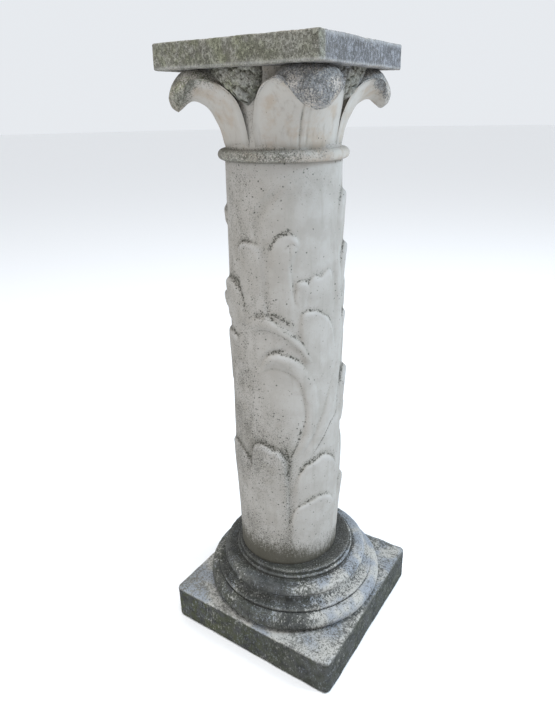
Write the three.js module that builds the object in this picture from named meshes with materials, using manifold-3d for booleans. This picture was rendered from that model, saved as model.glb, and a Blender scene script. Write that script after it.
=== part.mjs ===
// A cast-stone garden column in three blocks stacked dry: a moulded base on a square plinth, a tapered
// round shaft carved in low relief with scrolls and leaves, and a capital with four corner leaves that
// curl over under a square abacus. Millimetres, +Z up, origin at the middle of the plinth's underside.
// The plinth's sides lie along X and Y. The shaft and capital share one axis, a little off the base's.

import * as THREE from "three";
import { mergeVertices } from "three/addons/utils/BufferGeometryUtils.js";
import Module from "manifold-3d";

const wasm = await Module();
wasm.setup();

// Plinth and base mouldings, from the ground up
const plinthSide = 400;
const plinthHeight = 80;
const plinthCornerRadius = 10;
const slabArris = 3;
const lowerTorusHeight = 40;
const lowerTorusRadius = 197;
const rimHeight = 7;
const rimRadius = 178;
const scotiaHeight = 16;
const scotiaNeckRadius = 157;
const upperTorusHeight = 24;
const upperTorusRadius = 163;
const stepHeight = 8;
const stepProjection = 6;
const seatHeight = 10;
const seatMargin = 13;

// Shaft
const shaftLength = 837.4;
const shaftFootRadius = 114;
const shaftNeckRadius = 107;
const jointGap = 0.3;
const shaftOffset = [-11, -7];

// Relief on the shaft: one panel, drawn on a shaft of carvedLength and repeated around it
const panelCount = 2;
const carvedLength = 837;
const reliefRoot = 4;
const reliefFade = 2.5;
const wideLobe = 20;

// Capital
const astragalHeight = 20;
const astragalProjection = 11;
const necking = 2;
const bellInset = 4;
const bellHeight = 126;
const bellFlare = 17;
const leafCount = 4;
const leafReach = 198.5;
const leafTipHalfWidth = 50;
const abacusSide = 313;
const abacusHeight = 41;
const abacusCornerRadius = 9;
const capitalTurn = 1.2;
const flowerHalfWidth = 44;
const flowerDrop = 58;
const flowerSetback = 15;
const flowerFootProjection = 4;
const flowerBudRadius = 14;
const castingOverlap = 1;

// Heights and radii that follow from the sizes above
const baseHeight =
  plinthHeight + lowerTorusHeight + rimHeight + scotiaHeight + upperTorusHeight + stepHeight + seatHeight;
const shaftFoot = baseHeight + jointGap;
const shaftTop = shaftFoot + shaftLength;
const capitalFoot = shaftTop + jointGap;
const bellFoot = capitalFoot + astragalHeight;
const abacusFoot = bellFoot + bellHeight;
const seatRadius = shaftFootRadius + seatMargin;
const stepRadius = seatRadius + stepProjection;
const neckingRadius = shaftNeckRadius + necking;
const bellFootRadius = neckingRadius - bellInset;
const bellLipRadius = bellFootRadius + bellFlare;

const roundSegments = 36;
const shaftSegments = 30;
const stone = { pale: "#b9b4a6", weathered: "#6f6c64", lichened: "#9c998b" };

const radians = THREE.MathUtils.degToRad;

// Turns a three.js geometry into a manifold-3d solid.
function solidFrom(geometry) {
  const bare = geometry.clone();
  bare.deleteAttribute("normal");
  bare.deleteAttribute("uv");
  const merged = mergeVertices(bare, 1e-3);
  return new wasm.Manifold(
    new wasm.Mesh({
      numProp: 3,
      vertProperties: new Float32Array(merged.attributes.position.array),
      triVerts: new Uint32Array(merged.index.array),
    }),
  );
}

// Turns a manifold-3d solid back into a three.js geometry.
function geometryFrom(solid) {
  const mesh = solid.getMesh();
  const geometry = new THREE.BufferGeometry();
  const numbers = new Float32Array(mesh.vertProperties);
  geometry.setAttribute("position", new THREE.BufferAttribute(numbers, 3));
  geometry.setIndex(new THREE.BufferAttribute(new Uint32Array(mesh.triVerts), 1));
  geometry.computeVertexNormals();
  return geometry;
}

// A closed solid from rows of points: each row is a closed loop, and each end row is capped by a fan around
// the middle given for it, or else around the row's own middle.
function loftedSolid(rows, firstMiddle, lastMiddle) {
  const loop = rows[0].length;
  const points = rows.flat();
  const faces = [];
  for (let r = 0; r + 1 < rows.length; r++) {
    for (let i = 0; i < loop; i++) {
      const next = (i + 1) % loop;
      const [a, b] = [r * loop + i, r * loop + next];
      faces.push(a, b, b + loop, a, b + loop, a + loop);
    }
  }
  const ends = [
    [0, firstMiddle, true],
    [rows.length - 1, lastMiddle, false],
  ];
  for (const [row, chosen, flip] of ends) {
    const middle = points.length;
    const sum = new THREE.Vector3();
    rows[row].forEach((p) => sum.add(p));
    points.push(chosen ?? sum.divideScalar(loop));
    for (let i = 0; i < loop; i++) {
      const [a, b] = [row * loop + i, row * loop + ((i + 1) % loop)];
      faces.push(...(flip ? [middle, b, a] : [middle, a, b]));
    }
  }
  const geometry = new THREE.BufferGeometry();
  const numbers = points.flatMap((p) => [p.x, p.y, p.z]);
  geometry.setAttribute("position", new THREE.Float32BufferAttribute(numbers, 3));
  geometry.setIndex(faces);
  const solid = solidFrom(geometry);
  if (solid.volume() > 0) return solid;
  for (let i = 0; i < faces.length; i += 3) [faces[i + 1], faces[i + 2]] = [faces[i + 2], faces[i + 1]];
  geometry.setIndex(faces);
  return solidFrom(geometry);
}

// A solid turned around Z from a profile of [radius, height] that starts and ends on the axis.
function turnedSolid(profile, segments = roundSegments) {
  const points = profile.map(([r, z]) => new THREE.Vector2(r, z));
  return solidFrom(new THREE.LatheGeometry(points, segments).rotateX(Math.PI / 2));
}

// Points on a bulge from bottom to top, as [radius, height]: half an ellipse that stands out of a wall.
function bulge(foot, height, wallRadius, crownRadius, steps) {
  const points = [];
  for (let i = 0; i <= steps; i++) {
    const t = -Math.PI / 2 + (Math.PI * i) / steps;
    points.push([
      wallRadius + (crownRadius - wallRadius) * Math.cos(t),
      foot + (height / 2) * (1 + Math.sin(t)),
    ]);
  }
  return points;
}

// A square slab with rounded upright corners and chamfered arrises, standing on the height foot.
function squareSlab(side, cornerRadius, foot, height) {
  const half = side / 2 - slabArris;
  const inner = side / 2 - cornerRadius;
  const outline = new THREE.Shape();
  outline.moveTo(-inner, -half);
  const corners = [
    [inner, -inner, -90],
    [inner, inner, 0],
    [-inner, inner, 90],
    [-inner, -inner, 180],
  ];
  for (const [x, y, start] of corners) {
    outline.absarc(x, y, cornerRadius - slabArris, radians(start), radians(start + 90));
  }
  const geometry = new THREE.ExtrudeGeometry(outline, {
    depth: height - 2 * slabArris,
    bevelThickness: slabArris,
    bevelSize: slabArris,
    bevelSegments: 1,
    curveSegments: 3,
  });
  return solidFrom(geometry.translate(0, 0, foot + slabArris));
}

// Base: plinth, lower torus, rim, scotia, upper torus, step and the seat that the shaft stands on
function makeBase() {
  const torusFoot = plinthHeight;
  const rimFoot = torusFoot + lowerTorusHeight;
  const scotiaFoot = rimFoot + rimHeight;
  const upperFoot = scotiaFoot + scotiaHeight;
  const stepFoot = upperFoot + upperTorusHeight;
  const seatFoot = stepFoot + stepHeight;
  const lowerWall = lowerTorusRadius - lowerTorusHeight / 2;
  const upperWall = upperTorusRadius - upperTorusHeight / 2;
  const scotia = [];
  const scotiaSteps = 3;
  for (let i = 0; i <= scotiaSteps; i++) {
    const t = (Math.PI / 2) * (i / scotiaSteps);
    scotia.push([
      rimRadius - (rimRadius - scotiaNeckRadius) * Math.sin(t),
      scotiaFoot + scotiaHeight * (1 - Math.cos(t)),
    ]);
  }
  const profile = [
    [0, torusFoot - castingOverlap],
    [lowerWall, torusFoot - castingOverlap],
    ...bulge(torusFoot, lowerTorusHeight, lowerWall, lowerTorusRadius, 6),
    [rimRadius, rimFoot],
    ...scotia,
    ...bulge(upperFoot, upperTorusHeight, upperWall, upperTorusRadius, 5),
    [stepRadius, stepFoot],
    [stepRadius, seatFoot],
    [seatRadius, seatFoot],
    [seatRadius, baseHeight],
    [0, baseHeight],
  ];
  return squareSlab(plinthSide, plinthCornerRadius, 0, plinthHeight).add(turnedSolid(profile));
}

function shaftRadius(z) {
  const up = (z - shaftFoot) / shaftLength;
  return shaftFootRadius + (shaftNeckRadius - shaftFootRadius) * up;
}

// A point over the shaft's surface: an angle in degrees, a height, and how far it stands out.
function onShaft(angle, z, lift) {
  const r = shaftRadius(z) + lift;
  return new THREE.Vector3(r * Math.cos(radians(angle)), r * Math.sin(radians(angle)), z);
}

// Rounded lobes of the panel. Each has a place and half sizes as [degrees round the shaft, mm up it], how
// many degrees its top leans, how much wider its top is than its foot, how far it stands out, and the way
// in which it rises: the far end of a lobe sinks into the shaft and the near end is a clear edge.
const up = [0, 1];
const lobes = {
  leftFootLeaf: { at: [-123, 150], half: [24, 130], lean: 0, widen: 0.2, lift: 7, rises: up, sides: 10 },
  middleFootLeaf: { at: [-82, 170], half: [14, 135], lean: -1, widen: 0.2, lift: 8, rises: up, sides: 10 },
  middleFootFold: { at: [-68, 165], half: [9, 127], lean: 1, widen: 0.2, lift: 7, rises: up, sides: 10 },
  rightFootLeaf: { at: [-19, 160], half: [24, 112], lean: 0, widen: 0.15, lift: 6, rises: up, sides: 10 },
  lowLeaf: { at: [-22, 95], half: [30, 82], lean: 3, widen: 0.2, lift: 10, rises: up, sides: 10 },
  edgeFootLeaf: { at: [27, 150], half: [14, 85], lean: 0, widen: 0.2, lift: 8, rises: up, sides: 9 },
  egg: { at: [-71, 372], half: [32, 98], lean: -4, widen: 0.05, lift: 7, rises: [0.8, 0.6], sides: 16 },
  sideLeaf: { at: [-23, 453], half: [22, 131], lean: 4, widen: 0.15, lift: 6, rises: [0.7, 0.7], sides: 14 },
  farLeaf: { at: [-134, 583], half: [25, 36], lean: -6, widen: 0.1, lift: 7, rises: [0.7, 0.7], sides: 9 },
  farLeafFoot: { at: [-139, 478], half: [14, 48], lean: 0, widen: 0.1, lift: 6, rises: up, sides: 8 },
  farKnob: { at: [-143, 748], half: [12, 24], lean: 0, widen: 0, lift: 7, rises: up, sides: 8 },
  curledLeaf: { at: [-87, 652], half: [13, 57], lean: -8, widen: 0.2, lift: 8, rises: up, sides: 10 },
  middleLeaf: { at: [-60, 660], half: [12, 66], lean: 1, widen: 0.2, lift: 8, rises: up, sides: 10 },
  middleLeafCurl: { at: [-52, 706], half: [14, 18], lean: 3, widen: 0, lift: 8, rises: up, sides: 9 },
  bud: { at: [-41, 620], half: [7, 18], lean: 0, widen: 0, lift: 6, rises: [0, 0.4], sides: 8 },
  budLeaf: { at: [-20, 610], half: [16, 40], lean: -2, widen: 0.1, lift: 7, rises: up, sides: 10 },
  topLeaf: { at: [-46, 735], half: [34, 70], lean: 0, widen: 0.1, lift: 2.5, rises: [-0.3, 0.9], sides: 10 },
  topKnob: { at: [17, 757], half: [15, 37], lean: 4, widen: 0.1, lift: 9, rises: [0, 0.8], sides: 9 },
  edgeLeaf: { at: [23, 673], half: [12, 32], lean: 0, widen: 0.1, lift: 9, rises: [0, 0.8], sides: 9 },
  lowerEdgeLeaf: { at: [26, 440], half: [13, 38], lean: 0, widen: 0.1, lift: 9, rises: [0, 0.8], sides: 9 },
};

// Raised bands of the panel: the middle line as [degrees, mm up the shaft], the half width at the line's
// foot, middle and end, and how far the band stands out.
const bands = {
  scroll: {
    line: [[-99, 535], [-90, 556], [-79, 560], [-65, 546], [-54, 528], [-44, 508], [-36, 484], [-27, 462]],
    halfWidths: [9, 12, 5],
    lift: 8,
  },
  scrollCurl: {
    line: [[-84, 450], [-80, 480], [-70, 494], [-58, 494], [-46, 472], [-38, 440], [-33, 395], [-43, 300]],
    halfWidths: [6, 12, 8],
    lift: 6,
  },
  stalk: {
    line: [[-40, 262], [-24, 312], [-9, 366], [3, 436], [9, 510], [8, 580], [4, 650], [0, 724]],
    halfWidths: [10, 19, 9],
    lift: 6,
  },
};

// A lobe lies over the shaft as a shallow shell: a root inside the shaft, a shoulder and a crown.
function makeLobe({ at, half, lean, widen, lift, rises, sides }, turn, stretch) {
  const spot = (share, t, sunk = null) => {
    const [x, y] = [Math.cos(t) * share, Math.sin(t) * share];
    const angle = at[0] + turn + half[0] * (1 + widen * y) * x + lean * y;
    const height = shaftFoot + (at[1] + half[1] * y) * stretch;
    const rise = (1 + x * rises[0] + y * rises[1]) / 2;
    const out = (lift + reliefFade) * rise - reliefFade;
    return onShaft(angle, height, sunk ?? out);
  };
  const turns = Array.from({ length: sides }, (_, i) => (2 * Math.PI * i) / sides);
  const ring = (share, sunk) => turns.map((t) => spot(share, t, sunk));
  const rings = [ring(1, -reliefRoot), ring(0.87)];
  if (half[0] > wideLobe) rings.push(ring(0.43));
  return loftedSolid(rings, spot(0, 0, -reliefRoot * 3), spot(0, 0));
}

// A band is swept along a smooth line on the shaft, and sinks into it at both ends.
function makeBand({ line, halfWidths, lift }, turn, stretch) {
  const stations = line.length + 2;
  const spline = new THREE.SplineCurve(line.map(([angle, height]) => new THREE.Vector2(angle, height)));
  const [start, middle, end] = halfWidths;
  const rows = [];
  for (let i = 0; i <= stations; i++) {
    const share = i / stations;
    const here = spline.getPoint(share);
    const along = spline.getTangent(share);
    const height = shaftFoot + here.y * stretch;
    const mmPerDegree = radians(shaftRadius(height));
    const way = new THREE.Vector2(along.x * mmPerDegree, along.y * stretch).normalize();
    const width = share < 0.5 ? start + (middle - start) * 2 * share : end + (middle - end) * 2 * (1 - share);
    const out = (lift + reliefFade) * Math.min(1, 6 * share, 6 * (1 - share)) - reliefFade;
    const at = (side, lifted) =>
      onShaft(here.x + turn - (way.y * side * width) / mmPerDegree, height + way.x * side * width, lifted);
    rows.push([at(-1, -reliefRoot), at(-0.7, out), at(0.7, out), at(1, -reliefRoot)]);
  }
  return loftedSolid(rows);
}

function makeShaft() {
  const profile = [
    [0, shaftFoot],
    [shaftFootRadius, shaftFoot],
    [shaftNeckRadius, shaftTop],
    [0, shaftTop],
  ];
  let shaft = turnedSolid(profile, shaftSegments);
  const stretch = shaftLength / carvedLength;
  for (let panel = 0; panel < panelCount; panel++) {
    const turn = (360 / panelCount) * panel;
    for (const lobe of Object.values(lobes)) shaft = shaft.add(makeLobe(lobe, turn, stretch));
    for (const band of Object.values(bands)) shaft = shaft.add(makeBand(band, turn, stretch));
  }
  return shaft;
}

// Section of a corner leaf on the capital's diagonal, going round from its foot: up the dished front, over
// the arch, down to the tip and back over the top of the curl. Each row gives how far out and how high it
// is, as shares of the way from the bell's foot to the leaf's reach and of the bell's height, then the
// leaf's edge: its half width as a share of the tip's, and how far it falls back and rises, in mm.
const leafSection = [
  { out: -0.27, rise: 0, width: 1.44, back: 26, lift: 0 },
  { out: 0.026, rise: 0, width: 1.44, back: 26, lift: 0 },
  { out: 0.05, rise: 0.167, width: 1.48, back: 29, lift: 2 },
  { out: 0.13, rise: 0.325, width: 1.51, back: 32, lift: 8 },
  { out: 0.245, rise: 0.484, width: 1.51, back: 33, lift: 14 },
  { out: 0.427, rise: 0.587, width: 1.38, back: 29, lift: 22 },
  { out: 0.545, rise: 0.623, width: 1.2, back: 21, lift: 28 },
  { out: 0.661, rise: 0.591, width: 1.08, back: 17, lift: 33 },
  { out: 0.757, rise: 0.54, width: 1.0, back: 14, lift: 35 },
  { out: 0.845, rise: 0.492, width: 0.94, back: 14, lift: 36 },
  { out: 0.94, rise: 0.544, width: 0.94, back: 15, lift: 29 },
  { out: 1, rise: 0.643, width: 0.96, back: 17, lift: 22 },
  { out: 0.973, rise: 0.746, width: 0.98, back: 15, lift: 14 },
  { out: 0.909, rise: 0.841, width: 1.0, back: 14, lift: 8 },
  { out: 0.824, rise: 0.952, width: 1.04, back: 16, lift: 2 },
  { out: 0.729, rise: 1.03, width: 1.04, back: 19, lift: 0 },
  { out: -0.27, rise: 1.03, width: 1.04, back: 19, lift: 0 },
];

function makeLeaf(turn) {
  const stations = 8;
  const rows = [];
  for (let i = 0; i <= stations; i++) {
    const across = Math.sin((Math.PI / 2) * ((2 * i) / stations - 1));
    rows.push(
      leafSection.map(({ out, rise, width, back, lift }) => {
        const distance = bellFootRadius + (leafReach - bellFootRadius) * out - back * across ** 2;
        const height = bellFoot + bellHeight * rise + lift * Math.abs(across) ** 2.6;
        return new THREE.Vector3(distance, leafTipHalfWidth * width * across, height);
      }),
    );
  }
  return loftedSolid(rows).rotate([0, 0, turn]);
}

// The flower mass under the middle of one side of the abacus: a wedge that narrows downwards, set with
// rows of round buds and one larger flower at its foot.
function makeFlower(turn) {
  const footReach = bellFootRadius + flowerFootProjection;
  const topReach = abacusSide / 2 - flowerSetback;
  const narrowest = 0.15;
  const reachAt = (share) => footReach + (topReach - footReach) * share ** 0.8;
  const heightAt = (share) => abacusFoot + castingOverlap - flowerDrop * (1 - share);
  const levels = 4;
  const rows = [];
  for (let i = 0; i <= levels; i++) {
    const share = i / levels;
    const half = flowerHalfWidth * (narrowest + (1 - narrowest) * share);
    const [near, far, z] = [bellFootRadius / 2, reachAt(share), heightAt(share)];
    rows.push([
      new THREE.Vector3(near, -half, z),
      new THREE.Vector3(far, -half, z),
      new THREE.Vector3(far, half, z),
      new THREE.Vector3(near, half, z),
    ]);
  }
  let flower = loftedSolid(rows);
  const budRows = [
    { share: 0.8, count: 3, detail: 0 },
    { share: 0.5, count: 2, detail: 0 },
    { share: 0.22, count: 1, detail: 1 },
  ];
  const budSpacing = flowerBudRadius * 1.9;
  for (const { share, count, detail } of budRows) {
    for (let i = 0; i < count; i++) {
      const bud = new THREE.IcosahedronGeometry(flowerBudRadius, detail);
      bud.translate(reachAt(share) - flowerBudRadius / 2, (i - (count - 1) / 2) * budSpacing, heightAt(share));
      flower = flower.add(solidFrom(bud));
    }
  }
  return flower.rotate([0, 0, turn]);
}

// Capital: astragal, bell, corner leaves, flowers and abacus, all one casting
function makeCapital() {
  const profile = [
    [0, capitalFoot],
    ...bulge(capitalFoot, astragalHeight, neckingRadius, neckingRadius + astragalProjection, 6),
    [bellFootRadius, bellFoot],
    [bellFootRadius, bellFoot + bellHeight / 2],
    [bellLipRadius, abacusFoot + castingOverlap],
    [0, abacusFoot + castingOverlap],
  ];
  const abacus = squareSlab(abacusSide, abacusCornerRadius, abacusFoot, abacusHeight);
  let capital = turnedSolid(profile).add(abacus);
  for (let i = 0; i < leafCount; i++) {
    const side = (360 / leafCount) * i;
    capital = capital.add(makeLeaf(side + 180 / leafCount)).add(makeFlower(side));
  }
  return capital;
}

function makeMesh(name, solid, color, roughness) {
  const material = new THREE.MeshStandardMaterial({ color, roughness, metalness: 0 });
  const mesh = new THREE.Mesh(geometryFrom(solid), material);
  mesh.name = name;
  return mesh;
}

const column = new THREE.Group();
column.add(makeMesh("base", makeBase(), stone.weathered, 0.95));

const upright = new THREE.Group();
upright.position.set(shaftOffset[0], shaftOffset[1], 0);
upright.add(makeMesh("shaft", makeShaft(), stone.pale, 0.85));
const capital = makeMesh("capital", makeCapital(), stone.lichened, 0.92);
capital.rotation.z = radians(capitalTurn);
upright.add(capital);
column.add(upright);

export default column;
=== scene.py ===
"""Carved stone garden column dressed over its solids: moulded base, shaft in low relief, foliate capital."""

import itertools
import logging
import math
from dataclasses import dataclass, field, replace
from enum import Enum

import bmesh
import bpy
import numpy as np
from mathutils import Matrix


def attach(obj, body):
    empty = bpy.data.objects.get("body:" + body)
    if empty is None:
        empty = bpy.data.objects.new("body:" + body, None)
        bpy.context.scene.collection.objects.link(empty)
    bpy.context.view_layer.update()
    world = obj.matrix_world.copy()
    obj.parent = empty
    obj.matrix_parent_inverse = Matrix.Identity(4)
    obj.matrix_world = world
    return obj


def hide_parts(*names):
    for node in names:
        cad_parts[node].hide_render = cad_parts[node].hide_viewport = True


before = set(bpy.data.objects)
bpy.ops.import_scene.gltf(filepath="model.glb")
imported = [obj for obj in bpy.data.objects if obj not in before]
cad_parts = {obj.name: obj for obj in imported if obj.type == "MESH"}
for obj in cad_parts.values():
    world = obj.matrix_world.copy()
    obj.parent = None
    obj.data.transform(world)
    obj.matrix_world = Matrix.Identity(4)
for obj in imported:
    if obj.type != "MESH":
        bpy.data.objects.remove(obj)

LOG = logging.getLogger("garden_column")
MM = 0.001
WELD = 0.002 * MM  # points nearer than this become one
AXIS = np.array([-11.0, -7.0, 0.0])  # where the shaft and capital stand on the plinth, in mm

Array = np.ndarray
Knots = tuple[tuple[float, ...], ...]
Colour = tuple[float, float, float]
Socket = bpy.types.NodeSocket


class Mark(Enum):
    """Shares of weathering, and of painted light and shade, kept at every point of a piece, which its finish
    reads.
    """

    # dirt, together with painted shade in hollows, creases, under overhangs and on faces turned down
    GRIME = "grime"
    # lichen crust and specks; on the base also a painted lighter tone on faces that look up and on the right
    CRUST = "crust"
    MOSS = "moss"
    # worn edges, together with painted highlights on crests and on faces that catch the light
    WEAR = "wear"


Marks = dict[Mark, Array]


class Slot(Enum):
    """Names of three material slots, which this script gives to no piece."""

    WEATHERED = "weathered_stone"
    PALE = "pale_stone"
    LICHENED = "lichened_stone"


# ------------------------------ surfaces


class Grain:
    """Smooth random unevenness in space, the same for the same seed."""

    LAYER_GAP = 31.7
    PART_GAPS = (0.0, 311.0, 677.0)

    def __init__(self, seed: int, cells: int = 48) -> None:
        """Fills the lattice.

        Args:
            seed: number that fixes the pattern.
            cells: lattice cells along each side before the pattern repeats.
        """
        self.lattice = np.random.default_rng(seed).uniform(-1.0, 1.0, (cells, cells, cells))

    def at(self, points: Array, cell: float) -> Array:
        """Value noise: the eight lattice values round a point, blended by the smooth step 3t^2 - 2t^3.

        Args:
            points: places, in mm, with x, y, z on the last axis.
            cell: size of a lattice cell in mm.

        Returns:
            One value from -1 to 1 for each place.
        """
        scaled = points / cell
        corner = np.floor(scaled).astype(int)
        share = scaled - corner
        share = share * share * (3.0 - 2.0 * share)
        count = self.lattice.shape[0]
        total = np.zeros(points.shape[:-1])
        for step in itertools.product((0, 1), repeat=3):
            index = (corner + np.array(step)) % count
            weight = np.prod(np.where(np.array(step) == 1, share, 1.0 - share), axis=-1)
            total += weight * self.lattice[index[..., 0], index[..., 1], index[..., 2]]
        return total

    def layered(self, points: Array, cell: float, layers: int = 3) -> Array:
        """Sum of noises, each half as large and half as strong as the one before.

        Args:
            points: places in mm.
            cell: size of the largest cell in mm.
            layers: how many noises are summed.

        Returns:
            One value for each place, mostly from -1 to 1.
        """
        return sum(self.at(points + self.LAYER_GAP * k, cell / 2**k) / 2**k for k in range(layers)) / 1.5

    def shift(self, points: Array, cell: float) -> Array:
        """A small vector for each place, from three noises read far apart.

        Args:
            points: places in mm.
            cell: size of a lattice cell in mm.

        Returns:
            Vectors with parts from -1 to 1.
        """
        return np.stack([self.at(points + gap, cell) for gap in self.PART_GAPS], axis=-1)

    def wear(self, points: Array, *layers: tuple[float, float]) -> Array:
        """Small moves that wear a surface: one shift for each layer of strength and cell size, both in mm."""
        return sum(strength * self.shift(points, cell) for strength, cell in layers)


def unit(value: Array) -> Array:
    """The value kept between 0 and 1."""
    return np.clip(value, 0.0, 1.0)


def smooth_step(value: Array, low: float, high: float) -> Array:
    """Rises from 0 at low to 1 at high along 3t^2 - 2t^3.

    Args:
        value: numbers to map.
        low: value that gives 0.
        high: value that gives 1.

    Returns:
        Shares from 0 to 1.
    """
    share = unit((value - low) / (high - low))
    return share * share * (3.0 - 2.0 * share)


def curve_through(knots: Array, places: Array) -> Array:
    """Catmull-Rom curve: a cubic from knot to knot, whose slope at each is that of its neighbours' chord.

    Args:
        knots: one row of numbers for each knot.
        places: shares from 0, the first knot, to 1, the last.

    Returns:
        One row for each place.
    """
    last = len(knots) - 1
    along = unit(places) * last
    index = np.minimum(along.astype(int), last - 1)
    t = (along - index)[:, None]
    before, start = knots[np.maximum(index - 1, 0)], knots[index]
    end, after = knots[index + 1], knots[np.minimum(index + 2, last)]
    bend = 2 * before - 5 * start + 4 * end - after
    twist = 3 * start - before - 3 * end + after
    return 0.5 * (2 * start + (end - before) * t + bend * t**2 + twist * t**3)


def around_z(points: Array, degrees: float) -> Array:
    """Points turned about Z.

    Args:
        points: places with x, y, z on the last axis.
        degrees: the turn, from X towards Y.

    Returns:
        The turned places.
    """
    c, s = math.cos(math.radians(degrees)), math.sin(math.radians(degrees))
    return points @ np.array([[c, s, 0.0], [-s, c, 0.0], [0.0, 0.0, 1.0]])


@dataclass
class StoneMesh:
    """Collects closed shells of one block of stone and makes them one mesh."""

    name: str
    points: list[Array] = field(default_factory=list)
    faces: list[list[int]] = field(default_factory=list)
    marks: dict[Mark, list[Array]] = field(default_factory=lambda: {mark: [] for mark in Mark})
    count: int = 0

    def add_shell(self, rows: Array, marks: Marks) -> None:
        """Adds a shell from rows of points, each row a closed loop; a fan of triangles closes each end.

        Args:
            rows: points in mm, as rows by columns by x, y, z.
            marks: weathering shares, as rows by columns.
        """
        tall, wide = rows.shape[:2]
        corner = np.arange(wide)
        beside = (corner + 1) % wide
        start = self.count + wide * np.arange(tall - 1)[:, None]
        above = start + wide
        quads = np.stack([start + corner, start + beside, above + beside, above + corner], axis=-1)
        self.faces += quads.reshape(-1, 4).tolist()
        foot, head = np.full(wide, self.count + tall * wide), np.full(wide, self.count + tall * wide + 1)
        top = self.count + (tall - 1) * wide
        self.faces += np.stack([foot, self.count + beside, self.count + corner], axis=-1).tolist()
        self.faces += np.stack([head, top + corner, top + beside], axis=-1).tolist()
        self.points += [rows.reshape(-1, 3), rows[:1].mean(axis=1), rows[-1:].mean(axis=1)]
        for mark in Mark:
            share = marks.get(mark, np.zeros((tall, wide)))
            self.marks[mark] += [share.reshape(-1), share[:1].mean(axis=1), share[-1:].mean(axis=1)]
        self.count += tall * wide + 2

    def build(self, material: bpy.types.Material, limit: float = 55.0) -> bpy.types.Object:
        """Makes the mesh, merges the seams, turns the faces outwards and links the object.

        Args:
            material: the block's finish.
            limit: edges bent by more degrees than this stay sharp.

        Returns:
            The object, at the origin.
        """
        mesh = bpy.data.meshes.new(self.name)
        mesh.from_pydata((np.concatenate(self.points) * MM).tolist(), [], self.faces)
        for mark in Mark:
            layer = mesh.attributes.new(mark.value, "FLOAT", "POINT")
            layer.data.foreach_set("value", unit(np.concatenate(self.marks[mark])))
        shape = bmesh.new()
        shape.from_mesh(mesh)
        bmesh.ops.remove_doubles(shape, verts=shape.verts, dist=WELD)
        bmesh.ops.recalc_face_normals(shape, faces=shape.faces)
        shape.to_mesh(mesh)
        shape.free()
        mesh.shade_smooth()
        mesh.set_sharp_from_angle(angle=math.radians(limit))
        mesh.materials.append(material)
        piece = bpy.data.objects.new(self.name, mesh)
        bpy.context.scene.collection.objects.link(piece)
        return piece


@dataclass(frozen=True)
class Slab:
    """A square slab with rounded upright corners and worn arrises, sizes in mm."""

    side: float
    height: float
    foot: float
    corner: float
    arris: float

    def outline(self, inset: float, per_side: int, per_corner: int) -> Array:
        """The slab's outline moved inwards: four straight sides joined by quarter circles.

        Args:
            inset: how far inside the slab's side it runs.
            per_side: points along each straight side.
            per_corner: points round each corner.

        Returns:
            Points as columns by x, y.
        """
        half = self.side / 2 - inset
        bend = max(self.corner - inset, 0.5)
        side = np.linspace(bend - half, half - bend, per_side) - 1j * half
        turn = np.radians(np.linspace(-90.0, 0.0, per_corner + 2)[1:-1])
        corner = half - bend + bend * np.cos(turn) + 1j * (bend - half + bend * np.sin(turn))
        quarter = np.concatenate([side, corner])
        loop = np.concatenate([quarter * quarter_turn for quarter_turn in (1, 1j, -1, -1j)])
        return np.stack([loop.real, loop.imag], axis=-1)

    def rows(self, per_side: int, per_corner: int, side_rows: int, face_rows: int) -> Array:
        """The slab's skin: rings out from the middle of the underside, up the sides and in over the top.

        Args:
            per_side: points along each straight side.
            per_corner: points round each corner.
            side_rows: rings up the side.
            face_rows: rings on the underside and on the top.

        Returns:
            Points as rings by columns by x, y, z.
        """
        spread = np.linspace(0.03, 1.0, face_rows)
        turn = np.radians(np.linspace(0.0, 90.0, 6))[1:-1]
        low, high, arris = self.foot, self.foot + self.height, self.arris
        rings = [(arris, low, share) for share in spread]
        rings += [(arris * (1 - math.sin(a)), low + arris * (1 - math.cos(a)), 1.0) for a in turn]
        rings += [(0.0, z, 1.0) for z in np.linspace(low + arris, high - arris, side_rows)]
        rings += [(arris * (1 - math.cos(a)), high - arris * (1 - math.sin(a)), 1.0) for a in turn]
        rings += [(arris, high, share) for share in spread[::-1]]
        loops = []
        for inset, height, share in rings:
            flat = self.outline(inset, per_side, per_corner) * share
            loops.append(np.concatenate([flat, np.full((len(flat), 1), height)], axis=1))
        return np.stack(loops)


def turned(profile: Array, columns: int) -> Array:
    """A surface of revolution: every profile point carried round Z.

    Args:
        profile: rows of radius and height in mm.
        columns: points round each ring.

    Returns:
        Points as rings by columns by x, y, z.
    """
    turn = np.linspace(0.0, 2 * math.pi, columns, endpoint=False)
    radius, height = profile[:, 0:1], profile[:, 1:2]
    return np.stack([radius * np.cos(turn), radius * np.sin(turn), height + 0 * turn], axis=-1)


def bulge(foot: float, height: float, wall: float, crown: float, steps: int) -> Array:
    """Half an ellipse that stands out of a wall, from bottom to top.

    Args:
        foot: height of its lower end.
        height: its height.
        wall: radius of the wall.
        crown: radius at its crown.
        steps: points along it.

    Returns:
        Rows of radius and height.
    """
    t = np.linspace(-math.pi / 2, math.pi / 2, steps)
    return np.stack([wall + (crown - wall) * np.cos(t), foot + height / 2 * (1 + np.sin(t))], axis=-1)


# ------------------------------ finishes


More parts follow.
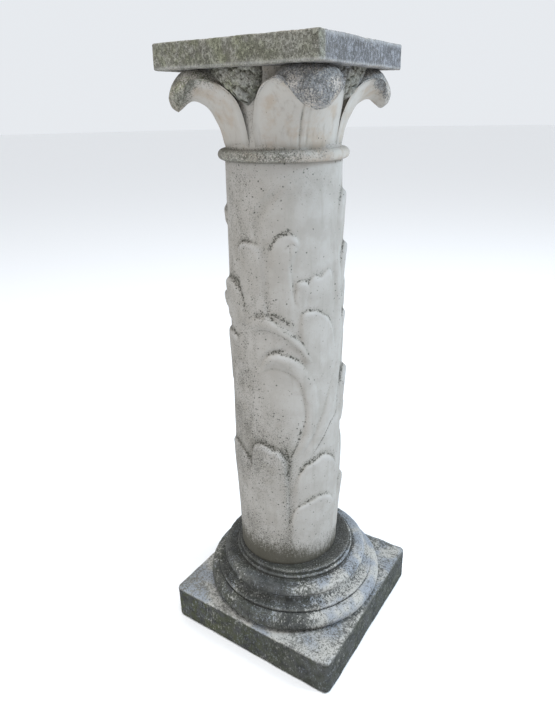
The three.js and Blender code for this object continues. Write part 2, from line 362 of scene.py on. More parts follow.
class StoneShader:
    """Draws a stone's material node by node, and holds the colour and the normal of its skin so far."""

    def __init__(self, name: str) -> None:
        """Starts an empty material with a shader and an output.

        Args:
            name: name of the material.
        """
        self.material = bpy.data.materials.new(name)
        self.material.use_nodes = True
        self.tree = self.material.node_tree
        self.tree.nodes.clear()
        self.shader = self.node("BsdfPrincipled", {"Specular IOR Level": 0.25})
        self.node("OutputMaterial", {"Surface": self.shader.outputs["BSDF"]})
        self.place = self.node("TexCoord", {}).outputs["Object"]
        self.colour: Socket | None = None
        self.normal: Socket | None = None

    def feed(self, node: bpy.types.Node, inputs: dict[str | int, object]) -> bpy.types.Node:
        """Links a node's inputs to sockets, or sets them where the value is a plain number or colour.

        Args:
            node: the node.
            inputs: a socket, number or colour for the name or number of each input.

        Returns:
            The node.
        """
        for key, value in inputs.items():
            socket = node.inputs[key]
            if isinstance(value, Socket):
                self.tree.links.new(value, socket)
            elif isinstance(value, tuple) and socket.type == "RGBA":
                socket.default_value = (*value, 1.0)
            else:
                socket.default_value = value
        return node

    def node(self, kind: str, inputs: dict[str | int, object], **settings: object) -> bpy.types.Node:
        """Adds a shader node.

        Args:
            kind: its kind.
            inputs: what feeds its inputs; those left out keep their defaults.
            settings: the node's own settings.

        Returns:
            The node.
        """
        node = self.tree.nodes.new("ShaderNode" + kind)
        for name, value in settings.items():
            setattr(node, name, value)
        return self.feed(node, inputs)

    def noise(self, size: float, detail: float, rough: float, stretch: float = 1.0) -> Socket:
        """Noise over the piece.

        Args:
            size: size of its largest lumps in mm.
            detail: how many finer layers it has.
            rough: how strong the finer layers are.
            stretch: how many times taller than wide the lumps are.

        Returns:
            Shares from 0 to 1.
        """
        place = self.place
        if stretch != 1.0:
            squeezed = {"Scale": (1.0, 1.0, 1.0 / stretch), "Vector": place}
            place = self.node("Mapping", squeezed).outputs["Vector"]
        lumps = {"Vector": place, "Scale": 1.0 / (size * MM), "Detail": detail, "Roughness": rough}
        return self.node("TexNoise", lumps).outputs["Fac"]

    def cells(self, size: float) -> Socket:
        """Distance to the nearest of many scattered points, as a share of size, their usual spacing in mm."""
        scattered = {"Vector": self.place, "Scale": 1.0 / (size * MM)}
        return self.node("TexVoronoi", scattered).outputs["Distance"]

    def mark(self, mark: Mark) -> Socket:
        """The socket that reads one of the piece's weathering shares."""
        return self.node("Attribute", {}, attribute_name=mark.value).outputs["Fac"]

    def reckon(self, operation: str, first: object, second: object) -> Socket:
        """A Math node's result on two sockets or numbers, kept between 0 and 1."""
        return self.node("Math", {0: first, 1: second}, operation=operation, use_clamp=True).outputs[0]

    def times(self, first: object, second: object) -> Socket:
        """First times second, kept between 0 and 1."""
        return self.reckon("MULTIPLY", first, second)

    def plus(self, first: object, second: object, share: float = 1.0) -> Socket:
        """First plus a share of second, kept between 0 and 1."""
        return self.reckon("ADD", first, self.times(second, share))

    def less(self, first: object, second: object, share: float = 1.0) -> Socket:
        """First less a share of second, kept between 0 and 1."""
        return self.reckon("SUBTRACT", first, self.times(second, share))

    def between(self, value: object, low: float, high: float) -> Socket:
        """A smooth rise from 0 at low to 1 at high, or a fall where low is the larger.

        Args:
            value: socket to map.
            low: value that gives 0.
            high: value that gives 1.

        Returns:
            Shares from 0 to 1.
        """
        falls = float(low > high)
        span = {"Value": value, "From Min": min(low, high), "From Max": max(low, high),
                "To Min": falls, "To Max": 1.0 - falls}
        return self.node("MapRange", span, interpolation_type="SMOOTHSTEP").outputs["Result"]

    def blend(self, share: object, under: object, over: object) -> Socket:
        """One colour laid over another; share says how much of the upper one shows."""
        return self.node("Mix", {"Factor": share, 6: under, 7: over}, data_type="RGBA").outputs[2]

    def coat(self, over: object, cover: object, strength: float = 1.0) -> None:
        """Lays a colour over the skin where cover says so, as strongly as strength says."""
        self.colour = self.blend(self.times(cover, strength), self.colour, over)

    def bump(self, height: Socket, depth: float, strength: float) -> None:
        """Roughens the skin's shading.

        Args:
            height: socket with the height as a share of depth.
            depth: depth in mm.
            strength: how much of it shows.
        """
        inputs = {"Height": height, "Distance": depth * MM, "Strength": strength}
        if self.normal is not None:
            inputs["Normal"] = self.normal
        self.normal = self.node("Bump", inputs).outputs["Normal"]

    def finish(self, rough: Socket) -> bpy.types.Material:
        """The material, with the skin and its roughness connected."""
        self.feed(self.shader, {"Base Color": self.colour, "Roughness": rough, "Normal": self.normal})
        return self.material


@dataclass(frozen=True)
class PaleStone:
    """Smooth pale cast stone of the shaft, with pits, stains, and dirt and painted shade in the hollows."""

    name: str = "pale_cast_stone"
    clean: Colour = (0.364, 0.346, 0.32)
    worn: Colour = (0.318, 0.3, 0.272)
    stain: Colour = (0.19, 0.178, 0.148)
    dirt: Colour = (0.042, 0.04, 0.032)
    soil: Colour = (0.062, 0.057, 0.042)
    # pale bluish tone for worn edges and for the painted highlight on crests
    pale_wear_and_highlight: Colour = (0.52, 0.525, 0.53)

    def make(self) -> bpy.types.Material:
        """Draws the material: mottle and streaks, worn edges with a painted highlight, stains, dirt and
        painted shade, pepper, blots and dots, soil.

        Returns:
            The material.
        """
        s = StoneShader(self.name)
        grime, speckle, soil = s.mark(Mark.GRIME), s.mark(Mark.CRUST), s.mark(Mark.MOSS)
        mottle = s.noise(42.0, 5.0, 0.6)
        fine = s.noise(2.6, 3.0, 0.75)
        s.colour = s.blend(s.between(mottle, 0.36, 0.66), self.clean, self.worn)
        s.coat(self.stain, s.between(s.noise(12.0, 3.0, 0.6, stretch=8.0), 0.5, 0.8), 0.22)
        # painted highlight: crests that face up turn paler, together with worn edges
        s.coat(self.pale_wear_and_highlight, s.mark(Mark.WEAR), 0.28)
        # the speckle share includes painted shade as specks in broad hollows above the leaf tips
        s.coat(self.stain, speckle, 0.3)
        # painted shade: darker in cavities by the relief's edges and under the astragal, together with dirt
        # there
        s.coat(self.stain, grime, 0.45)
        s.coat(self.dirt, s.between(s.plus(fine, speckle, 0.3), 0.64, 0.8), 0.5)
        blots = s.between(s.plus(s.noise(4.4, 3.0, 0.7), grime, 0.4), 0.7, 0.82)
        s.coat(self.dirt, blots, 0.88)
        chosen = s.between(s.plus(s.noise(7.0, 2.0, 0.6), speckle, 0.24), 0.6, 0.68)
        dots = s.times(s.between(s.cells(6.5), 0.32, 0.16), chosen)
        s.coat(self.dirt, dots, 0.88)
        patchy = s.plus(s.times(s.noise(4.6, 4.0, 0.7, stretch=3.0), 0.6), fine, 0.6)
        ragged = s.plus(s.less(patchy, 0.3), soil, 0.62)
        s.coat(self.soil, s.between(ragged, 0.46, 0.84), 0.94)
        s.bump(s.noise(8.0, 3.0, 0.5), 0.7, 0.4)
        s.bump(s.less(s.times(fine, 0.5), s.plus(dots, blots), 0.5), 0.4, 0.5)
        return s.finish(s.between(mottle, -1.4, 1.1))


@dataclass(frozen=True)
class LichenedStone:
    """Cast stone of the capital: smooth pale leaves, with a rough lichened crust where water stands."""

    name: str = "lichened_cast_stone"
    clean: Colour = (0.39, 0.366, 0.332)
    warm: Colour = (0.35, 0.30, 0.245)
    crust: Colour = (0.1, 0.098, 0.08)
    pale_crust: Colour = (0.28, 0.277, 0.242)
    green: Colour = (0.062, 0.07, 0.034)
    pale_green: Colour = (0.215, 0.226, 0.135)
    # painted reflection: bluish sky tint for the crust on the side that faces the light
    painted_sky_blue: Colour = (0.07, 0.074, 0.088)
    pale_painted_sky_blue: Colour = (0.225, 0.236, 0.275)
    pale_wear_and_highlight: Colour = (0.44, 0.435, 0.42)
    stain: Colour = (0.12, 0.112, 0.085)
    dirt: Colour = (0.045, 0.043, 0.035)

    def make(self) -> bpy.types.Material:
        """Draws the material: mottle and streaks, a crust that is green where the moss share is high and
        carries a painted bluish sky reflection where it is low, painted highlights with wear, dirt and
        painted shade, specks.

        Returns:
            The material.
        """
        s = StoneShader(self.name)
        grime, crust, moss = s.mark(Mark.GRIME), s.mark(Mark.CRUST), s.mark(Mark.MOSS)
        mottle = s.noise(34.0, 4.0, 0.6)
        fine = s.noise(2.6, 3.0, 0.65)
        specks = s.noise(2.1, 3.0, 0.7)
        s.colour = s.blend(s.between(mottle, 0.42, 0.72), self.clean, self.warm)
        s.coat(self.crust, s.between(s.noise(7.0, 3.0, 0.6, stretch=7.0), 0.5, 0.78), 0.25)
        furry = s.times(s.noise(5.2, 4.0, 0.75, stretch=1.5), 0.75)
        patch = s.between(s.plus(furry, s.noise(26.0, 3.0, 0.6), 0.25), 0.44, 0.6)
        tones = ((self.crust, self.pale_crust), (self.green, self.pale_green), (self.painted_sky_blue, self.pale_painted_sky_blue))
        skin, green, painted_sky_blue = (s.blend(patch, dark, pale) for dark, pale in tones)
        greener = s.times(s.between(s.noise(24.0, 3.0, 0.6), 0.38, 0.6), s.between(moss, 0.3, 0.95))
        skin = s.blend(s.times(greener, 0.85), skin, green)
        # painted reflection: where the moss share is low, mostly on the right, the crust turns bluish as if
        # lit by the sky
        skin = s.blend(s.times(s.between(moss, 0.24, 0.05), 0.85), skin, painted_sky_blue)
        cover = s.between(s.plus(fine, crust, 0.5), 0.66, 0.86)
        s.coat(skin, cover, 0.9)
        s.coat(self.dirt, s.times(s.between(s.plus(specks, crust, 0.12), 0.62, 0.72), cover), 0.75)
        # painted highlight: paler rims and lump tops, together with wear
        s.coat(self.pale_wear_and_highlight, s.mark(Mark.WEAR), 0.6)
        # painted shade: darker under the astragal and abacus, in creases and between lumps, together with
        # dirt
        s.coat(self.stain, grime, 0.6)
        s.coat(self.dirt, s.between(s.plus(specks, grime, 0.36), 0.74, 0.86), 0.8)
        dots = s.times(s.between(s.cells(11.0), 0.12, 0.07), s.between(mottle, 0.48, 0.6))
        s.coat(self.dirt, dots, 0.85)
        s.bump(s.noise(10.0, 3.0, 0.6), 0.7, 0.4)
        s.bump(s.times(fine, s.plus(s.times(cover, 0.8), 0.15)), 1.3, 0.8)
        return s.finish(s.between(cover, -3.0, 1.0))


@dataclass(frozen=True)
class WeatheredStone:
    """Dark weathered cast stone of the base, speckled with pale lichen and green low down."""

    name: str = "weathered_cast_stone"
    dark: Colour = (0.028, 0.029, 0.028)
    grey: Colour = (0.066, 0.067, 0.065)
    # pale lichen tone, also laid on as painted highlight
    pale: Colour = (0.43, 0.42, 0.39)
    blue: Colour = (0.275, 0.298, 0.33)
    moss: Colour = (0.058, 0.063, 0.034)
    dirt: Colour = (0.025, 0.024, 0.02)

    def make(self) -> bpy.types.Material:
        """Draws the material: dark mottle, green, streaks and spots of pale or blue lichen with painted light
        on faces that look up, pale worn edges with painted highlights, and pits with dirt and painted shade.

        Returns:
            The material.
        """
        s = StoneShader(self.name)
        grime, crust, moss = s.mark(Mark.GRIME), s.mark(Mark.CRUST), s.mark(Mark.MOSS)
        s.colour = s.blend(s.between(s.noise(24.0, 5.0, 0.7), 0.36, 0.64), self.dark, self.grey)
        s.coat(self.moss, s.times(moss, s.between(s.noise(16.0, 4.0, 0.6), 0.35, 0.6)))
        grain = s.noise(5.2, 3.0, 0.8, stretch=2.0)
        spots = s.plus(s.times(grain, 0.8), s.noise(16.0, 4.0, 0.65), 0.2)
        tint = s.blend(s.between(s.noise(60.0, 2.0, 0.5), 0.42, 0.58), self.pale, self.blue)
        streaks = s.between(s.noise(3.6, 3.0, 0.8, stretch=2.6), 0.53, 0.66)
        s.coat(tint, s.times(streaks, s.between(s.noise(20.0, 3.0, 0.6), 0.36, 0.6)), 0.5)
        # painted highlight: pale on worn edges, on the plinth's top and on the right side of the mouldings
        s.coat(self.pale, s.mark(Mark.WEAR), 0.6)
        # the crust share draws pale spots, thick where it carries painted light on up-facing and right-hand
        # faces
        s.coat(tint, s.between(s.plus(spots, crust, 0.4), 0.64, 0.76), 0.8)
        # pits gather where the grime share is high, so they carry painted shade in hollows and under the tori
        # as well as dirt
        pits = s.plus(s.noise(2.6, 2.0, 0.6), grime, 0.25)
        s.coat(self.dirt, s.between(pits, 0.56, 0.68), 0.8)
        s.bump(s.noise(12.0, 3.0, 0.6), 1.0, 0.5)
        s.bump(s.less(grain, s.between(pits, 0.56, 0.7), 0.5), 1.3, 0.8)
        return s.finish(s.between(grain, -2.0, 1.0))


# ------------------------------ base


@dataclass
class Base:
    """The moulded base on its square plinth, one casting. Sizes in mm."""

    plinth: Slab = Slab(side=399.0, height=80.0, foot=0.0, corner=13.0, arris=5.0)
    torus_height: float = 40.0
    torus_radius: float = 196.5
    rim_height: float = 7.0
    rim_radius: float = 178.0
    scotia_height: float = 16.0
    scotia_radius: float = 157.0
    upper_height: float = 24.0
    upper_radius: float = 163.0
    step_height: float = 8.0
    step_radius: float = 133.0
    seat_radius: float = 127.0
    top: float = 185.0
    hidden_radii: tuple[float, float] = (150.0, 90.0)
    box_half: float = 199.9
    spacing: float = 1.4
    mean_reach: int = 5
    columns: int = 360
    grain: Grain = field(default_factory=lambda: Grain(11))

    def profile(self) -> Array:
        """The mouldings from the plinth up: torus, rim, scotia, upper torus, step and seat.

        Returns:
            Rows of radius and height.
        """
        foot = self.plinth.height
        rim, scotia, upper, step, seat = foot + np.cumsum([
            self.torus_height, self.rim_height, self.scotia_height, self.upper_height, self.step_height])
        wall = self.torus_radius - self.torus_height / 2
        upper_wall = self.upper_radius - self.upper_height / 2
        t = np.linspace(0.0, math.pi / 2, 12)
        hollow = np.stack([self.rim_radius - (self.rim_radius - self.scotia_radius) * np.sin(t),
                           scotia + self.scotia_height * (1 - np.cos(t))], axis=-1)
        parts = [
            [[self.hidden_radii[0], foot - 4.0], [wall, foot - 4.0]],
            bulge(foot, self.torus_height, wall, self.torus_radius, 26),
            [[self.rim_radius - 1.5, rim + 0.6], [self.rim_radius, rim + 2.5],
             [self.rim_radius, scotia - 1.5]],
            hollow,
            bulge(upper, self.upper_height, upper_wall, self.upper_radius, 20),
            [[self.step_radius + 4.0, step], [self.step_radius, step + 1.5],
             [self.step_radius, seat - 2.0], [self.step_radius - 1.5, seat - 0.4]],
            [[self.seat_radius + 1.5, seat], [self.seat_radius, seat + 1.5],
             [self.seat_radius, self.top - 2.0], [self.seat_radius - 1.5, self.top],
             [self.hidden_radii[1], self.top]],
        ]
        return np.concatenate([np.array(part) for part in parts])

    def evened(self) -> tuple[Array, Array]:
        """The profile's line walked from end to end in equal steps.

        Returns:
            Rows of radius and height, and the upward part of the outward direction across each step.
        """
        knots = self.profile()
        walked = np.concatenate([[0.0], np.cumsum(np.hypot(*np.diff(knots, axis=0).T))])
        steps = np.linspace(0.0, walked[-1], int(walked[-1] / self.spacing))
        line = np.stack([np.interp(steps, walked, part) for part in knots.T], axis=-1)
        slope = np.gradient(line, axis=0)
        return line, -slope[:, 0] / (np.hypot(*slope.T) + 1e-9)

    def weather(self, points: Array, up: Array, hollow: Array) -> Marks:
        """Weathering and painted light: pale lichen and a painted lighter tone on faces that look up and on
        the right, moss low down and on the left, dirt in the hollows and on the seat, and painted shade in
        the hollows and on faces turned down.

        Args:
            points: places in mm.
            up: how far each place faces up, from -1 to 1.
            hollow: how deep in a hollow each place is, from 0 to 1, and below 0 on worn edges.

        Returns:
            A share for each mark and place.
        """
        x, y, z = np.moveaxis(points, -1, 0)
        left = smooth_step(-x - 0.4 * y, -40.0, 170.0)
        right = smooth_step(x + 0.3 * y, 20.0, 190.0)
        low = smooth_step(z, 150.0, 40.0)
        plinth = smooth_step(z, self.plinth.height + 4.0, self.plinth.height - 4.0)
        mouldings = 1.0 - plinth
        seat = smooth_step(z, self.top - 2.0, self.top - 0.5)
        patches = self.grain.layered(points, 55.0)
        facing, averted = unit(up), unit(-up)
        edge, sunk = unit(-hollow), unit(hollow)
        # painted light: the plinth's top is lighter, less so on the right, and its sides darker
        on_plinth = facing * (0.52 - 0.6 * right) - 0.12 * (1.0 - facing)
        bare = 0.4 * seat + 0.3 * sunk + 0.15 * smooth_step(z, 164.0, 170.0)
        return {
            Mark.MOSS: 0.2 + 0.5 * left * low + 0.2 * low + 0.3 * patches,
            # lichen, plus a painted lighter tone on faces that look up and on the right side of the mouldings
            Mark.CRUST: 0.2 + 0.1 * facing + 0.28 * patches + mouldings * (0.6 * right - 0.06 * left)
            + plinth * on_plinth - bare,
            # dirt in the hollows and on the seat, plus painted shade in the hollows and on faces turned down
            Mark.GRIME: sunk + 0.6 * seat + 0.25 * averted + 0.2 * self.grain.layered(points + 90.0, 35.0),
            # worn edges, plus a painted highlight on the plinth's top and the right side of the mouldings
            Mark.WEAR: edge * 0.6 * (0.4 + 0.6 * patches) + plinth * facing * (1.0 - 0.8 * right)
            + 0.3 * right * mouldings * (1.0 - sunk),
        }

    def build(self) -> bpy.types.Object:
        """Makes the base: the worn plinth, and the mouldings carried round with their hollows found from how
        far the profile's running mean lies outside it.

        Returns:
            The object.
        """
        stone = StoneMesh("base_stone")
        block = self.plinth.rows(per_side=66, per_corner=9, side_rows=24, face_rows=22)
        worn = block + self.grain.wear(block, (0.9, 30.0), (0.35, 4.0))
        worn[block[..., 2] <= 0.01, 2] = 0.0
        half = self.box_half
        worn = np.clip(worn, [-half, -half, 0.0], [half, half, self.top])
        face = smooth_step(block[..., 2], self.plinth.height - self.plinth.arris, self.plinth.height)
        stone.add_shell(worn, self.weather(worn, face, -2.0 * face * (1.0 - face)))

        profile, up = self.evened()
        rings = turned(profile, self.columns)
        outward = rings * [1.0, 1.0, 0.0] / np.linalg.norm(rings[..., :2], axis=-1, keepdims=True)
        uneven = 0.9 * self.grain.layered(rings, 45.0) + 0.5 * self.grain.at(rings, 5.0)
        shaped = rings + outward * uneven[..., None]
        shaped[..., 2] = np.minimum(shaped[..., 2] + 0.3 * self.grain.at(rings, 7.0), self.top)
        window = np.ones(2 * self.mean_reach + 1) / (2 * self.mean_reach + 1)
        padded = np.pad(profile.T, ((0, 0), (self.mean_reach, self.mean_reach)), "edge")
        mean = np.stack([np.convolve(part, window, "valid") for part in padded])
        outer, upper = mean - profile.T
        hollow = np.clip((outer * (1 - np.abs(up)) + upper * up) / 1.6, -1.0, 1.0)
        all_round = np.ones(self.columns)
        stone.add_shell(shaped, self.weather(shaped, up[:, None] * all_round, hollow[:, None] * all_round))
        return stone.build(WeatheredStone().make())


# ------------------------------ shaft


class Form(Enum):
    """How a band of the relief is rounded across."""

    ROUND = 0.4
    SOFT = 1.6


@dataclass(frozen=True)
class Place:
    """Where every point of the shaft, or of one panel of it, lies: on three grids alike."""

    angle: Array
    up: Array
    mm_per_degree: Array
    repeat: float

    def across(self, degrees: float) -> Array:
        """Degrees from a line up the shaft to each point, by the shorter way within the repeat."""
        return (self.angle - degrees + self.repeat / 2) % self.repeat - self.repeat / 2

    def along_line(self, knots: Array, steep: float = 1.0) -> tuple[Array, Array, Array]:
        """Distance to a line of places: the least of the distances to the nearest point of each stretch.

        Args:
            knots: rows of degrees and mm up.
            steep: how fast the line's strength rises from its ends.

        Returns:
            The distance in mm, the share of the line's length at its nearest point, and the line's strength
            there, from 0 at both ends to 1.
        """
        nearest = np.full(self.angle.shape, np.inf)
        share = np.zeros(self.angle.shape)
        count = len(knots) - 1
        for index in range(count):
            (a0, u0), (a1, u1) = knots[index], knots[index + 1]
            away = self.across(a0) * self.mm_per_degree
            dx, dy = (a1 - a0) * self.mm_per_degree, u1 - u0
            t = unit((away * dx + (self.up - u0) * dy) / (dx * dx + dy * dy + 1e-9))
            distance = np.hypot(away - t * dx, self.up - u0 - t * dy)
            closer = distance < nearest
            nearest = np.where(closer, distance, nearest)
            share = np.where(closer, (index + t) / count, share)
        return nearest, share, unit(np.minimum(share, 1 - share) * steep)


def fine_line(knots: Knots, per_knot: int) -> Array:
    """A smooth line through knots, with a number of places for each of them."""
    return curve_through(np.array(knots, float), np.linspace(0.0, 1.0, per_knot * len(knots)))


@dataclass(frozen=True)
class Leaf:
    """A leaf of the relief: its outline from root over the tip to root, by degrees round the shaft and mm up.

    A leaf that stands once is not repeated on the far side.
    """

    outline: Knots
    lift: float
    root_lift: float = 0.0
    shoulder: float = 6.0
    once: bool = False

    def height(self, place: Place) -> Array:
        """Height of the leaf: inside its outline it rises from its lowest point to its tip, and its edge is
        rounded off over a short way.

        Args:
            place: the points.

        Returns:
            How far the leaf stands out at each place, 0 outside it.
        """
        knots = fine_line(self.outline, 3)
        loop = np.concatenate([knots, knots[:1]])
        middle = knots[:, 0].mean()
        turn = place.across(middle)
        inside = np.zeros(turn.shape, bool)
        for (a0, u0), (a1, u1) in zip(loop[:-1], loop[1:]):
            crosses = (u0 > place.up) != (u1 > place.up)
            inside ^= crosses & (turn < (a1 - a0) * (place.up - u0) / (u1 - u0 + 1e-9) + a0 - middle)
        distance, *_ = place.along_line(loop)
        low, high = knots[:, 1].min(), knots[:, 1].max()
        rise = unit((place.up - low) / (high - low))
        out = self.root_lift + (self.lift - self.root_lift) * rise**1.3
        edge = 1.0 - (1.0 - unit(distance / self.shoulder)) ** 2.4
        return np.where(inside, out * edge, 0.0)


@dataclass(frozen=True)
class Band:
    """A raised or sunk band of the relief along a line of places, in degrees round the shaft and mm up it."""

    line: Knots
    half_widths: tuple[float, float, float]
    lift: float
    form: Form = Form.ROUND

    def height(self, place: Place) -> Array:
        """Height of the band: the lift times one minus the square of the distance to the line as a share of
        the band's half width, raised to the form's power, tapering at both ends.

        Args:
            place: the points.

        Returns:
            How far the band stands out at each place.
        """
        distance, share, taper = place.along_line(fine_line(self.line, 4), 7.0)
        start, middle, end = self.half_widths
        width = np.interp(share, [0.0, 0.5, 1.0], [start, middle, end])
        return self.lift * taper * unit(1.0 - (distance / width) ** 2) ** self.form.value


@dataclass(frozen=True)
class Groove:
    """A thin cut line of the relief with dirt in it, or a line without depth that only paints dirt and shade,
    in degrees round the shaft and mm up it.
    """

    line: Knots
    depth: float
    width: float
    dirt: float

    def nearness(self, place: Place) -> Array:
        """One on the line, falling off as a bell curve of the distance, thinner towards both ends.

        Args:
            place: the points.

        Returns:
            Shares from 0 to 1.
        """
        distance, _, taper = place.along_line(fine_line(self.line, 4), 6.0)
        return taper * np.exp(-((distance / self.width) ** 2))


BY_THE_CURL: Knots = ((-60, 796), (-70, 781), (-78, 764), (-82.5, 747), (-85, 731), (-83, 700))

# The leaves of the relief, read from the photo as degrees round the shaft and mm above its foot.
LEAVES: dict[str, Leaf] = {
    "left foot leaf": Leaf(((-164, 20), (-160, 150), (-155, 225), (-146, 258), (-134, 272), (-121, 273),
        (-108, 262), (-98, 240), (-94, 205), (-94, 120), (-96, 20)), 5),
    "middle foot leaf": Leaf(((-99, 20), (-98, 150), (-98, 235), (-96, 278), (-91, 296), (-81, 297),
        (-73, 289), (-67, 288), (-61, 272), (-59, 252), (-57, 205), (-56, 120), (-55, 20)), 7),
    "right foot leaf": Leaf(((-52, 60), (-52, 150), (-49, 215), (-40, 248), (-33, 254), (-27, 259),
        (-19, 266), (-11, 259), (0, 238), (8, 200), (13, 130), (14, 60)), 7),
    "low leaf": Leaf(((-59, 20), (-58, 80), (-54, 127), (-49, 151), (-43, 158), (-34, 165), (-22, 171),
        (-12, 164), (-4, 150), (4, 115), (9, 60), (10, 20)), 9),
    "edge foot leaf": Leaf(((12, 30), (13, 100), (16, 145), (23, 168), (33, 170), (41, 140), (43, 80),
        (40, 30)), 10, root_lift=1.0, shoulder=8, once=True),
    "side leaf": Leaf(((-41, 305), (-37, 400), (-40, 480), (-44, 545), (-42, 572), (-36, 578), (-27, 576),
        (-20, 568), (-11, 555), (-4, 527), (1, 481), (0, 440), (-7, 410), (-17, 368), (-30, 320)), 5),
    "curled leaf": Leaf(((-101, 500), (-104, 570), (-108, 640), (-109, 687), (-103, 701), (-97, 704),
        (-85, 701), (-81, 690), (-79, 656), (-78, 600), (-80, 500)), 5.6, shoulder=9),
    "middle leaf": Leaf(((-72, 500), (-73, 600), (-72, 660), (-71, 685), (-69, 703), (-64, 715), (-53, 720),
        (-47, 716), (-44, 700), (-50, 672), (-51, 638), (-49, 590), (-46, 500)), 6, shoulder=8),
    "bud": Leaf(((-49, 570), (-49, 605), (-48, 622), (-47, 632), (-41, 635), (-36, 631), (-34, 617),
        (-36, 600), (-40, 570)), 5, shoulder=4),
    "bud leaf": Leaf(((-35, 560), (-36, 600), (-36, 628), (-29, 642), (-22, 638), (-16, 647), (-9, 648),
        (-6, 620), (-8, 560)), 6),
    "far leaf": Leaf(((-160, 560), (-156, 600), (-146, 618), (-134, 624), (-123, 626), (-110, 622),
        (-104, 606), (-100, 580), (-99, 560), (-103, 546), (-114, 540), (-130, 538), (-148, 542)), 9,
        root_lift=4.0, shoulder=11),
    "far leaf foot": Leaf(((-160, 430), (-158, 500), (-150, 514), (-141, 511), (-130, 518), (-118, 518),
        (-112, 508), (-115, 492), (-122, 465), (-127, 430), (-140, 405), (-154, 410)), 6, root_lift=1.5),
    "far knob": Leaf(((-156, 722), (-154, 745), (-146, 758), (-137, 752), (-133, 738), (-138, 722)), 6,
        root_lift=3.5, shoulder=8),
    "top knob": Leaf(((2, 645), (2, 690), (4, 736), (9, 768), (17, 784), (27, 782), (34, 760), (35, 715),
        (28, 685), (14, 640)), 9, shoulder=8, once=True),
    "edge leaf": Leaf(((13, 594), (11, 634), (15, 672), (23, 688), (32, 684), (38, 656), (36, 624),
        (26, 606)), 12, root_lift=4.0, shoulder=9, once=True),
    "edge fold": Leaf(((16, 550), (16, 575), (24, 592), (33, 588), (36, 565), (28, 550)), 4, root_lift=2.0,
        once=True),
    "far curl": Leaf(((-160, 556), (-158, 578), (-150, 592), (-141, 585), (-138, 566), (-147, 552)), 14,
        root_lift=7.0, shoulder=8, once=True),
    "edge curl": Leaf(((14, 490), (13, 520), (17, 545), (25, 553), (34, 545), (37, 520), (30, 505)), 10,
        root_lift=3.0, shoulder=8, once=True),
    "edge bud": Leaf(((17, 470), (17, 490), (25, 500), (33, 495), (34, 475)), 4, root_lift=2.0, once=True),
    "lower edge leaf": Leaf(((14, 338), (12, 373), (15, 408), (23, 430), (33, 431), (40, 403), (38, 368),
        (28, 350)), 13, root_lift=6.0, shoulder=9, once=True),
    "lower edge curl": Leaf(((16, 308), (15, 333), (22, 354), (32, 352), (37, 333), (30, 313)), 9,
        root_lift=4.0, shoulder=8, once=True),
}

# Scrolls, stalk, webs and sunk hollows.
BANDS: dict[str, Band] = {
    "scroll": Band(((-97, 540), (-86, 552), (-73, 552), (-60, 537), (-51, 521), (-43, 506), (-36, 482),
        (-28, 462)), (13, 9, 6), 5.2),
    "scroll curl": Band(((-86, 446), (-78, 476), (-69, 486), (-59, 481), (-49, 468), (-40.5, 445),
        (-34.5, 415), (-32, 385), (-32, 355), (-35, 325), (-41, 300), (-49, 272)), (5, 16, 6), 5),
    "eye hollow": Band(((-86, 452), (-81, 480), (-72, 497), (-62, 503), (-54, 510)), (6, 9, 5), -1.8,
        Form.SOFT),
    "stalk": Band(((-40, 262), (-24, 312), (-9, 366), (3, 436), (9, 510), (8, 580), (4, 650), (0, 724)), (9,
        18, 9), 5),
    "hollow by the curl": Band(BY_THE_CURL, (9, 14, 9), -3.0, Form.SOFT),
    "web between leaves": Band(((-80, 600), (-77, 575), (-74, 545)), (5, 9, 5), 4.5, Form.SOFT),
    "hollow between leaves": Band(((-77, 725), (-76, 640), (-75, 560)), (8, 9, 7), -2.0, Form.SOFT),
}

